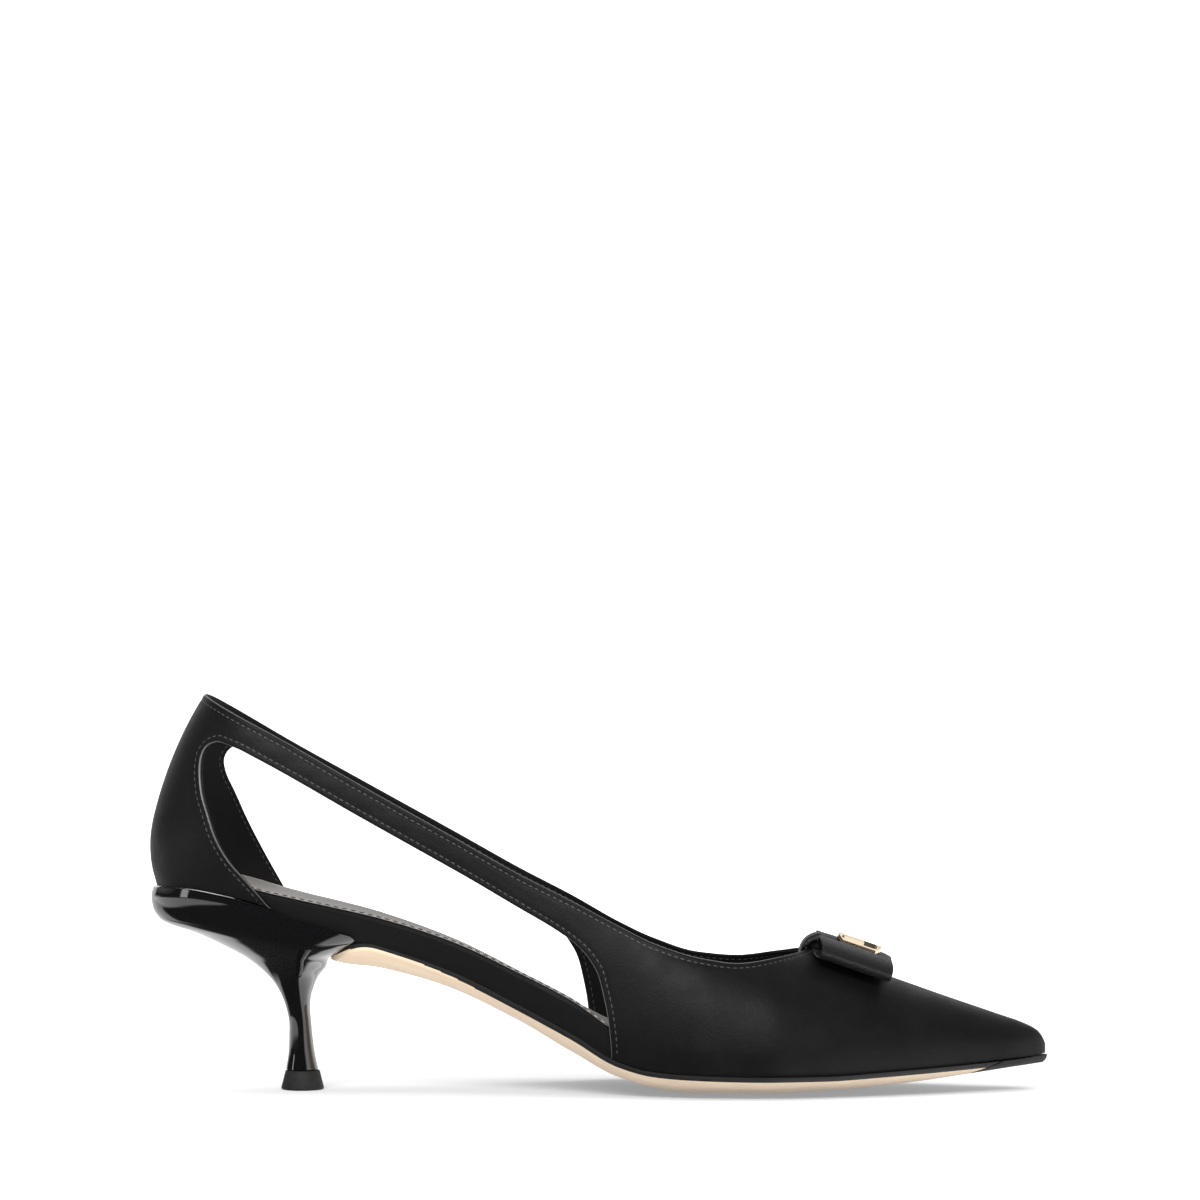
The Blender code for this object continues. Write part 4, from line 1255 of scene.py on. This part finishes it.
def add_half_wall(half, side, points, faces, finishes):
    """Outer face, lining and rims of one half of the upper."""
    flat, lifts = sheet_spots(half)
    count = len(half.outline)
    edges = [(i, (i + 1) % count) for i in range(count)]
    result = delaunay_2d_cdt([Vector(spot) for spot in flat], edges, [], 1, SHEET_MERGE)
    spots, triangles, sources = result[0], result[2], result[3]
    first = len(points)
    deep = len(spots)
    outer_at = {}
    for index, (u, v) in enumerate(spots):
        point = outer_point(u, v, side)
        lift = lifts[sources[index][0]] if sources[index] else 0.0
        if lift:
            point = point + surface_normal(u, v, side) * lift
        points.append(point)
        for source in sources[index]:
            outer_at[source] = first + index
    points += [inner_point(u, v, side) for u, v in spots]
    for triangle in triangles:
        for start, finish in ((first, SATIN), (first + deep, LINING)):
            faces.append([start + i for i in triangle])
            finishes.append(finish)
    columns = {}
    for start, line, normals in half.rims:
        for i, (spot, normal) in enumerate(zip(line, normals)):
            outer = outer_at[start + i]
            columns[start + i] = rim_column(points, outer, outer + deep, spot, normal, side)
    for i, j in edges:
        if i in columns and j in columns:
            near, far = columns[i], columns[j]
            corner = points[near[0]]
            under_bow = corner.x > BARE_RIM_X and abs(corner.y) < BARE_RIM_HALF
            for k in range(len(near) - 1):
                faces.append((near[k], far[k], far[k + 1], near[k + 1]))
                finish = EDGE_ROWS[min(k, len(EDGE_ROWS) - 1)].finish
                finishes.append(SATIN if under_bow and finish == BURNISHED_HIGHLIGHT else finish)
        elif half.outline[i][1] == 0.0 and half.outline[j][1] == 0.0:
            a, b = outer_at[i], outer_at[j]
            faces.append((a, b, b + deep, a + deep))
            finishes.append(LINING)


def edge_paths(half, side):
    """Paths of the stitches along the window and the topline, on the outer face and on the lining."""
    for row in (STITCH_ROW, len(FOLD_ROWS) + STITCH_ROW):
        line, lift = half.rows[row]
        path = []
        lining_path = []
        for u, v in line[inside_polygon(line, half.outline)]:
            normal = surface_normal(u, v, side)
            path.append((outer_point(u, v, side) + normal * lift, normal))
            lining_path.append((inner_point(u, v, side), -normal))
        yield path, lining_path


def build_upper(satin, lining, edge, thread, lining_thread):
    """Upper with folded edges and a lining, and the stitches along its edges on both faces."""
    points = []
    faces = []
    finishes = []
    stitches = []
    lining_stitches = []
    for side in SIDES:
        half = half_upper(side)
        add_half_wall(half, side, points, faces, finishes)
        for path, lining_path in edge_paths(half, side):
            stitches += stitch_path(path)
            lining_stitches += stitch_path(lining_path)
    replace(mesh_object("upper_shell", points, faces, (satin, lining, edge), finishes), "upper")
    join_stitches("upper_stitches", stitches, thread)
    join_stitches("lining_stitches", lining_stitches, lining_thread)


def stitch_path(path, pitch=STITCH_PITCH):
    """Middle, half length along it and normal of each stitch on a path of points and normals."""
    line = np.array([point for point, _ in path])
    normals = np.array([normal for _, normal in path])
    lengths = lengths_along(line)
    made = []
    for mark in np.arange(pitch, lengths[-1] - pitch / 2.0, pitch):
        spots = []
        for end in (mark - pitch * STITCH_FILL / 2.0, mark, mark + pitch * STITCH_FILL / 2.0):
            spots.append(Vector([np.interp(end, lengths, line[:, k]) for k in range(3)]))
        normal = Vector([np.interp(mark, lengths, normals[:, k]) for k in range(3)]).normalized()
        made.append((spots[1], (spots[2] - spots[0]) / 2.0, normal))
    return made


def join_stitches(name, stitches, thread):
    """Small pillows of thread, drawn in at both ends, as one object."""
    points = []
    faces = []
    for middle, along, normal in stitches:
        across = along.cross(normal).normalized()
        first = len(points)
        for run, swell in STITCH_ROWS:
            for k in range(STITCH_POINTS):
                turn = 2.0 * math.pi * k / STITCH_POINTS
                rise = STITCH_HEIGHT / 2.0 * swell * math.sin(turn) - STITCH_SINK * abs(run)
                spread = STITCH_WIDTH / 2.0 * swell * math.cos(turn)
                points.append(middle + along * run + across * spread + normal * rise)
        for face in ring_faces(len(STITCH_ROWS), STITCH_POINTS):
            faces.append([first + i for i in face])
    attach(mesh_object(name, points, faces, (thread,)))


def foot_stations(back, toe):
    """Stations along the foot, closer together where the heel and the toe round off."""
    turns = np.linspace(math.pi / 2.0, 0.0, TURN_STATIONS)
    heel = [blend(SEAT_X, back, math.sin(turn)) for turn in turns]
    middle = list(np.linspace(SEAT_X, NOSE_X, SLAB_STATIONS))[1:]
    front = [blend(NOSE_X, toe, share) for share in np.linspace(0.0, 1.0, TOE_STATIONS)[1:]]
    return heel + middle + front


def board_rim(x, side):
    """Height of the board's top edge."""
    return feather_height[side](x) + board_edge[side](x)


def board_top(x, y):
    side = side_of(y)
    share = min(1.0, abs(y) / half_width(x, side, board_edge[side](x), WALL + GAP)) * side
    edge = blend(board_rim(x, MEDIAL), board_rim(x, LATERAL), (share + 1.0) / 2.0)
    return edge - BOARD_DISH * (1.0 - share * share)


def board_half(x, side, level):
    return max(SLIVER, half_width(x, side, board_edge[side](x) * level, WALL + GAP))


def build_insole(wrap):
    """Wrapped board with a rounded rim."""
    back = SEAT_X - back_reach(0.0, WALL + GAP) + BOARD_BACK_SLIVER
    stations = foot_stations(back, BOARD_TOE_X)
    insole = slab(
        "insole_board", stations, board_half, board_top, seat, (wrap,), rounding=BOARD_ROUND,
    )
    replace(insole, "insole")


def build_sock(greige, rim, thread):
    """Thin leather sheet on the board with a pale border, stitched down along its edge."""
    inset = WALL + GAP + SOCK_INSET

    def half(x, side, level):
        return max(SLIVER, half_width(x, side, board_edge[side](x), inset))

    def top(x, y):
        return board_top(x, y) + GAP + SOCK_THICK

    back = SEAT_X - back_reach(BOARDS[0].inner, inset) + BOARD_BACK_SLIVER
    sock = slab(
        "sock_lining", foot_stations(back, SOCK_TOE_X), half, top,
        lambda x, y: board_top(x, y) + GAP, (greige, rim), rounding=SOCK_ROUND, border=SOCK_BORDER,
        edge_finish=0,
    )
    replace(sock, "sock")
    stitches = []
    for side in SIDES:
        path = []
        for x in np.arange(*SOCK_STITCH_X, 1.0):
            y = side * half(x, side, 1.0)
            path.append((Vector((x, y, top(x, y) - SOCK_THICK / 2.0)), Vector((0.0, side, 0.0))))
        stitches += stitch_path(path, SOCK_STITCH_PITCH)
    join_stitches("sock_stitches", stitches, thread)


def sole_half(x, side, grow):
    """Half width of the outsole: proud of the upper in front, tucked in at the waist."""
    front = share_of(x, SOLE_PROUD_FROM, SOLE_PROUD_TO)
    proud = blend(SOLE_WAIST_PROUD, SOLE_PROUD, front)
    tip = nose(x, SOLE_TIP_X + grow)
    width = (sole_width[side](min(x, TOE_X)) + proud) * tip + grow
    run = clamp((TONGUE_FULL_X - x) / (TONGUE_FULL_X - TONGUE_X + grow))
    return max(SLIVER, width * math.sqrt(1.0 - run * run))


def sole_top(x, y):
    return seat(x, y) - SOLE_GAP


def sole_bottom(x, y):
    """Underside: thin at the edge, full in the middle, and flat where it meets the floor."""
    side = side_of(y)
    share = min(1.0, abs(y) / max(half_width(x, side), LEAST_WIDTH))
    thick = blend(SOLE_THICK, SOLE_EDGE, share ** SOLE_EDGE_POWER)
    return max(0.0, seat(x, y) - GAP - thick)


def sole_stations(grow):
    """Stations along the sole, closer together where the tongue and the tip round off."""
    turns = np.linspace(0.0, math.radians(TIP_TURN), TURN_STATIONS)
    tongue = [blend(TONGUE_FULL_X, TONGUE_X - grow, math.sin(turn)) for turn in turns[::-1]]
    middle = list(np.linspace(TONGUE_FULL_X, NOSE_X, SLAB_STATIONS))[1:]
    tip = [blend(NOSE_X, SOLE_TIP_X + grow, math.sin(turn)) for turn in turns[1:]]
    return tongue + middle + tip


def joint_wedge(shift, finish):
    """Space in front of the slanted joint between sole leather and toe tip."""
    outline = [(JOINT_X + (z - JOINT_Z) * JOINT_SLANT + shift, z) for z in (JOINT_LOW, JOINT_HIGH)]
    outline += [(JOINT_FRONT, z) for z in (JOINT_HIGH, JOINT_LOW)]
    rings = [[(x, y, z) for x, z in outline] for y in (-JOINT_HALF, JOINT_HALF)]
    return loft("joint_wedge", rings, (finish,))


def build_sole(leather, paint, rubber):
    """Leather outsole with a painted edge, and the rubber tip let into its front.

    The paint is thin at the waist; its border along the top is also painted shade in the groove under the
    upper. The beige leather throws no colour on the floor.
    """

    def half(x, side, level):
        return sole_half(x, side, SOLE_UNDERCUT * (level - 1.0))

    def bottom(x, y):
        past = max(0.0, (x - SOLE_TIP_X) / SOLE_TIP_ROUND + 1.0)
        left = max(SOLE_TIP_LEFT, math.sqrt(max(0.0, 1.0 - past * past)))
        return blend(sole_top(x, y), sole_bottom(x, y), left)

    stations = sole_stations(0.0)
    outsole = slab(
        "outsole_leather", stations, half, sole_top, bottom, (leather, paint), bulge=SOLE_BULGE,
        border=SOLE_PAINT_AND_SHADE_BORDER,
    )
    for face in outsole.data.polygons:
        x, y, z = face.center / MM
        share = share_of(x, *PAINT_X)
        if z < sole_top(x, y) - blend(PAINT_THIN, PAINT_FULL, share):
            face.material_index = 0
    cut(outsole, joint_wedge(0.0, leather))
    outsole.visible_diffuse = False
    replace(outsole, "outsole")
    tip = slab("toe_tip_rubber", stations, half, sole_top, bottom, (rubber,), bulge=SOLE_BULGE)
    cut(tip, joint_wedge(GAP * math.hypot(1.0, JOINT_SLANT), rubber), "INTERSECT")
    replace(tip, "toe_tip")


def heel_ring(row):
    """One section of the heel, sheared down toward its front."""
    shear = max(0.0, (row.z - HEEL_SHEAR_FROM) / (HEEL_SEAT_Z - HEEL_SHEAR_FROM))
    centre = blend(STEM_X, SEAT_X, min(1.0, shear * STEM_TO_SEAT))
    ring = []
    for turn in np.linspace(0.0, 2.0 * math.pi, HEEL_POINTS, endpoint=False):
        along = math.cos(turn)
        across = math.sin(turn)
        front = along > 0.0
        power = row.front_power if front else blend(2.0, SEAT_ROUND, min(1.0, shear))
        reach = row.front - centre if front else centre - row.back
        radius = (abs(along / reach) ** power + abs(across / row.half) ** power) ** (-1.0 / power)
        x = centre + radius * along
        ring.append((x, radius * across, row.z - shear * heel_drop(x)))
    return ring


def heel_rows():
    """Table rows with smooth rows worked out between them."""
    lines = [curve(HEEL_ROWS, "z", name) for name in HEEL_ROWS[0]._fields[1:]]
    rows = []
    for first, second in zip(HEEL_ROWS, HEEL_ROWS[1:]):
        for z in np.linspace(first.z, second.z, HEEL_STEPS, endpoint=False):
            rows.append(first._make([z] + [line(z) for line in lines]))
    return rows + [HEEL_ROWS[-1]]


def build_heel(lacquer):
    """Cup and stem in one sweep, trimmed by the seat above and by the tongue of the sole."""
    heel = loft("heel_lacquer", [heel_ring(row) for row in heel_rows()], (lacquer,))
    stations = np.linspace(*SEAT_BLOCK_X, SEAT_STATIONS)
    seat_block = slab(
        "seat_block", stations, lambda x, side, level: SEAT_BLOCK_HALF,
        lambda x, y: seat(x, y) + SEAT_BLOCK_HEIGHT, lambda x, y: seat(x, y) - GAP,
        (lacquer,), count=SEAT_POINTS,
    )
    cut(heel, seat_block)
    tongue_block = slab(
        "tongue_block", [x for x in sole_stations(GAP) if x < TONGUE_CUT_X],
        lambda x, side, level: sole_half(x, side, GAP),
        lambda x, y: seat(x, y) + SEAT_BLOCK_HEIGHT, lambda x, y: sole_bottom(x, y) - GAP, (lacquer,),
    )
    cut(heel, tongue_block)
    replace(heel, "heel")


def build_top_lift(rubber):
    """Wear piece under the stem: a short flared round with softened edges."""
    rings = []
    for z, radius in LIFT_ROWS:
        turns = np.linspace(0.0, 2.0 * math.pi, LIFT_POINTS, endpoint=False)
        rings.append([(LIFT_X + radius * math.cos(t), radius * math.sin(t), z) for t in turns])
    replace(loft("top_lift_rubber", rings, (rubber,)), "top_lift")


def bow_slope():
    step = 1.0
    return math.atan2(ridge_height(BOW_X - step) - ridge_height(BOW_X + step), 2.0 * step)


def on_ridge(run, across, rise):
    """Point of the bow's frame: run down the ridge to the toe, across the shoe, rise above it."""
    slope = bow_slope()
    x = BOW_X + run * math.cos(slope) + rise * math.sin(slope)
    z = ridge_height(BOW_X) - run * math.sin(slope) + rise * math.cos(slope)
    return Vector((x, across, z))


def sag(across):
    """Drop of plate, knot and ribbon from the middle of the knot to its sides."""
    return PLATE_BEND * (abs(across) / (PLATE_WIDTH / 2.0)) ** PLATE_BEND_POWER


def bow_thickness(across):
    """Height of the folded ribbon: pinched under the knot, puffed in the loops."""
    edge = KNOT_HALF_WIDTH + GAP
    share = share_of(abs(across), edge, edge + BOW_SWELL)
    pinched = max(BOW_FLAT, BOW_PINCH - sag(min(abs(across), edge)))
    return blend(pinched, BOW_PUFF, share * share * (3.0 - 2.0 * share))


def bow_middle(across):
    """Height of the middle of the folded ribbon above the ridge."""
    droop = BOW_DROOP * (across / BOW_SPAN) ** 2
    return BOW_LIFT + bow_thickness(across) / 2.0 - droop


def bow_point(share, across, rise, past=0.0):
    """Point of the ribbon: small pleats fan out from the knot."""
    reach = abs(across)
    run = blend(-ribbon_rear(reach), ribbon_front(reach), (share + 1.0) / 2.0)
    fade = math.exp(-((reach - KNOT_HALF_WIDTH) / PLEAT_REACH) ** 2)
    pleat = PLEAT * fade * math.cos(share * math.pi * PLEAT_COUNT)
    return on_ridge(run + share * past, across, rise + pleat)


def loop_lines(side):
    """Outside and inside of one loop, from the knot over the top, round the fold and back under."""
    shares = np.sin(np.linspace(0.0, math.pi / 2.0, BOW_POINTS))
    outer = []
    inner = []
    for level in (1.0, -1.0):
        outer_half = []
        inner_half = []
        for share in shares:
            across = blend(LOOP_FROM, BOW_SPAN, share)
            full = math.sqrt(max(0.0, 1.0 - (across / BOW_SPAN) ** FOLD_POWER))
            rise = bow_middle(across) + level * bow_thickness(across) / 2.0 * full
            outer_half.append((side * across, rise))
            across = blend(LOOP_FROM, BOW_SPAN - RIBBON, share)
            full = math.sqrt(max(0.0, 1.0 - (2.0 * share - 1.0) ** LOOP_POWER))
            hollow = max(bow_thickness(across) / 2.0 - RIBBON, LOOP_SLIT)
            inner_half.append((side * across, bow_middle(across) + level * hollow * full))
        if level < 0.0:
            outer_half = outer_half[-2::-1]
            inner_half = inner_half[-2::-1]
        outer += outer_half
        inner += inner_half
    return outer, inner


def build_bow_ribbon(ribbon):
    """Folded ribbon: one open loop on each side, and its pinched middle under the knot."""
    shares = np.linspace(-1.0, 1.0, BOW_STATIONS)
    points = []
    faces = []
    for side in SIDES:
        outer, inner = loop_lines(side)
        count = len(outer)
        first = len(points)
        for share in shares:
            points += [bow_point(share, a, h) for a, h in outer]
            points += [bow_point(share, a, h) for a, h in inner]
        strips = [(skin + j, skin + j + 1) for skin in (0, count) for j in range(count - 1)]
        strips += [(0, count), (count - 1, 2 * count - 1)]
        for row in range(first, first + (len(shares) - 1) * 2 * count, 2 * count):
            ahead = row + 2 * count
            faces += [(row + a, row + b, ahead + b, ahead + a) for a, b in strips]
        for i, share in ((0, -1.0), (len(shares) - 1, 1.0)):
            edge = len(points)
            for (a, h), (b, k) in zip(outer, inner):
                points.append(bow_point(share, (a + b) / 2.0, (h + k) / 2.0, SELVEDGE))
            start = first + i * 2 * count
            for j in range(count - 1):
                faces.append((start + j, start + j + 1, edge + j + 1, edge + j))
                faces.append((edge + j, edge + j + 1, start + count + j + 1, start + count + j))
    acrosses = np.linspace(-MIDDLE_HALF, MIDDLE_HALF, MIDDLE_POINTS)
    first = len(points)
    for share in shares:
        for level, line in ((1.0, acrosses), (-1.0, acrosses[::-1])):
            for a in line:
                points.append(bow_point(share, a, bow_middle(a) + level * bow_thickness(a) / 2.0))
    for face in ring_faces(len(shares), 2 * MIDDLE_POINTS):
        faces.append([first + i for i in face])
    bow = mesh_object("bow_loops", points, faces, (ribbon,))
    replace(bow, "bow_ribbon")


def through(points, steps):
    """Points on a smooth path through the given ones, with the same count on each span."""
    padded = [points[0]] + list(points) + [points[-1]]
    path = []
    for i in range(1, len(padded) - 2):
        a, b, c, d = (np.array(p) for p in padded[i - 1:i + 3])
        for t in np.linspace(0.0, 1.0, steps, endpoint=False):
            bend = (2 * a - 5 * b + 4 * c - d) * t * t + (3 * b - a - 3 * c + d) * t ** 3
            path.append(b + 0.5 * ((c - a) * t + bend))
    path.append(np.array(points[-1]))
    return path


def rounded(value, power):
    """A cosine or sine pressed towards its ends, for a section with rounded corners."""
    return math.copysign(abs(value) ** (2.0 / power), value)


def build_bow_knot(ribbon):
    """Band that ties the ribbon and rolls over the throat edge, with soft lengthwise pleats.

    Under the roll's skin its sides are drawn in.
    """
    rings = []
    for run, rise, under_run, under_rise in through(KNOT_ROWS, KNOT_STEPS):
        bent = clamp(under_rise / KNOT_BRIDGE) ** 2
        rolled = clamp(1.0 - under_rise / KNOT_TUCK_RISE)
        power = blend(KNOT_EDGE_POWER, KNOT_ROLL_POWER, rolled)
        over = clamp(under_rise / KNOT_OVER)
        thick = math.dist((run, rise), (under_run, under_rise))
        ring = []
        for turn in np.linspace(0.0, 2.0 * math.pi, KNOT_POINTS, endpoint=False):
            share = rounded(math.cos(turn), power)
            depth = 0.5 - 0.5 * rounded(math.sin(turn), power)
            pleat = KNOT_PLEAT * (math.cos(share * math.pi * KNOT_PLEATS) - 1.0) * (1.0 - depth)
            deep = share_of(depth * thick, *KNOT_SKIN)
            across = share * KNOT_HALF_WIDTH * (1.0 - KNOT_RECESS * deep * rolled)
            tuck = KNOT_TUCK * share * share * depth * rolled * over
            height = blend(rise, under_rise, depth) + pleat - bent * sag(across) - tuck
            back = THROAT_CURVE * across * across * depth * (1.0 - over)
            ring.append(on_ridge(blend(run, under_run, depth) - back, across, height))
        rings.append(ring)
    replace(loft("bow_band", rings, (ribbon,)), "bow_knot")


def finish_plate(gold):
    """The CAD plate stays, with softened edges and a brushed finish."""
    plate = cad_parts["bow_plate"]
    for slot in plate.material_slots:
        slot.material = gold
    edges = plate.modifiers.new("soft_edges", "BEVEL")
    edges.width = PLATE_BEVEL * MM
    edges.segments = PLATE_BEVEL_STEPS
    edges.limit_method = "ANGLE"
    edges.angle_limit = math.radians(PLATE_BEVEL_ANGLE)


def ramp_node(tree, value, low, high):
    """Rises softly from 0 to 1 as the value goes from low to high."""
    inputs = {"Value": value, "From Min": low, "From Max": high}
    return add_node(tree, "MapRange", inputs, interpolation_type="SMOOTHSTEP").outputs["Result"]


def math_node(tree, operation, first, second):
    """One sum on two values; each is a socket or a number."""
    return add_node(tree, "Math", {0: first, 1: second}, operation=operation).outputs["Value"]


def build_floor():
    """White floor that takes the shoe's shadow; a faint glow near the shoe lightens that shadow, and it
    glows white further out.
    """
    white = make_material("floor_white", (0.9, 0.9, 0.9), 0.7, 0.0, emission_color=(1.0, 1.0, 1.0, 1.0))
    tree = white.node_tree
    place = add_node(tree, "TexCoord", {}).outputs["Object"]
    distance = add_node(tree, "VectorMath", {0: place}, operation="LENGTH").outputs["Value"]
    glow = math_node(tree, "ADD", ramp_node(tree, distance, *GLOW_REACH), GLOW_NEAR)
    tree.links.new(glow, tree.nodes["Principled BSDF"].inputs["Emission Strength"])
    mesh = bpy.data.meshes.new("floor")
    corners = [(x * FLOOR_REACH, y * FLOOR_REACH, 0.0) for x, y in ((-1, -1), (1, -1), (1, 1), (-1, 1))]
    mesh.from_pydata(corners, [], [(0, 1, 2, 3)])
    mesh.materials.append(white)
    floor = add_object("floor", mesh)
    floor.visible_glossy = False
    floor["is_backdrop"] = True


def build_world():
    """White surroundings to look at; the gloss sees patches of white on a dark surround."""
    world = bpy.data.worlds.new("studio")
    bpy.context.scene.world = world
    world.use_nodes = True
    tree = world.node_tree
    direction = add_node(tree, "TexCoord", {}).outputs["Generated"]
    axes = add_node(tree, "SeparateXYZ", {"Vector": direction}).outputs
    ways = {"x": axes["X"], "y": axes["Y"], "z": axes["Z"]}
    for name, (way, other, share) in WORLD_SLANTS.items():
        ways[name] = math_node(tree, "SUBTRACT", ways[way], math_node(tree, "MULTIPLY", ways[other], share))
    gloss = WORLD_DARK
    for patch in WORLD_PATCHES:
        light = patch.bright
        for way, low, high in patch.ramps:
            light = math_node(tree, "MULTIPLY", light, ramp_node(tree, ways[way], low, high))
        gloss = math_node(tree, "MAXIMUM", gloss, light)
    seen = add_node(tree, "LightPath", {}).outputs["Is Camera Ray"]
    strength = add_node(tree, "Mix", {"Factor": seen, "A": gloss, "B": WORLD_SEEN})
    background = tree.nodes["Background"]
    background.inputs["Color"].default_value = (1.0, 1.0, 1.0, 1.0)
    tree.links.new(strength.outputs["Result"], background.inputs["Strength"])


def build_lights():
    """Area lights from the table; one of them shines on the metal plate alone."""
    metal = bpy.data.collections.new("metal")
    metal.objects.link(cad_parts["bow_plate"])
    for lamp in LIGHTS:
        data = bpy.data.lights.new(lamp.name, "AREA")
        data.shape = "RECTANGLE"
        data.size, data.size_y = lamp.size
        data.energy = lamp.watts
        light = add_object(lamp.name, data)
        light.location = lamp.place
        aim = Vector(lamp.target) - Vector(lamp.place)
        light.rotation_euler = aim.to_track_quat("-Z", "Y").to_euler()
        light.visible_glossy = lamp.in_gloss
        if lamp.metal_only:
            light.light_linking.receiver_collection = metal


def build_camera():
    data = bpy.data.cameras.new("camera")
    data.lens = CAMERA_LENS
    data.sensor_width = CAMERA_SENSOR
    camera = add_object("camera", data)
    camera.location = (0.0, -CAMERA_DISTANCE, CAMERA_HEIGHT)
    camera.rotation_euler = (math.pi / 2.0, 0.0, 0.0)
    bpy.context.scene.camera = camera


def build_shoe():
    satin = satin_material()
    thread = thread_material("thread_grey", (0.06, 0.058, 0.055))
    dark_thread = thread_material("thread_black", (0.012, 0.012, 0.012))
    rubber = rubber_material()
    ribbon = ribbon_material()
    lining_thread = thread_material("thread_dark_grey", (0.035, 0.035, 0.035))
    build_upper(satin, lining_material(), highlight_edge_material(), thread, lining_thread)
    build_insole(wrap_material())
    build_sock(sock_material(), rim_material(), dark_thread)
    build_sole(sole_material(), edge_material(), rubber)
    build_heel(lacquer_material())
    build_top_lift(rubber)
    build_bow_ribbon(ribbon)
    build_bow_knot(ribbon)
    finish_plate(gold_material())


def write_sizes():
    boxes = {"cad": cad_box, "visual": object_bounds()}
    numbers = {name: [[float(c) for c in corner] for corner in box] for name, box in boxes.items()}


build_camera()
build_world()
build_lights()
build_floor()
build_shoe()
bpy.context.scene.view_settings.view_transform = "Standard"
write_sizes()
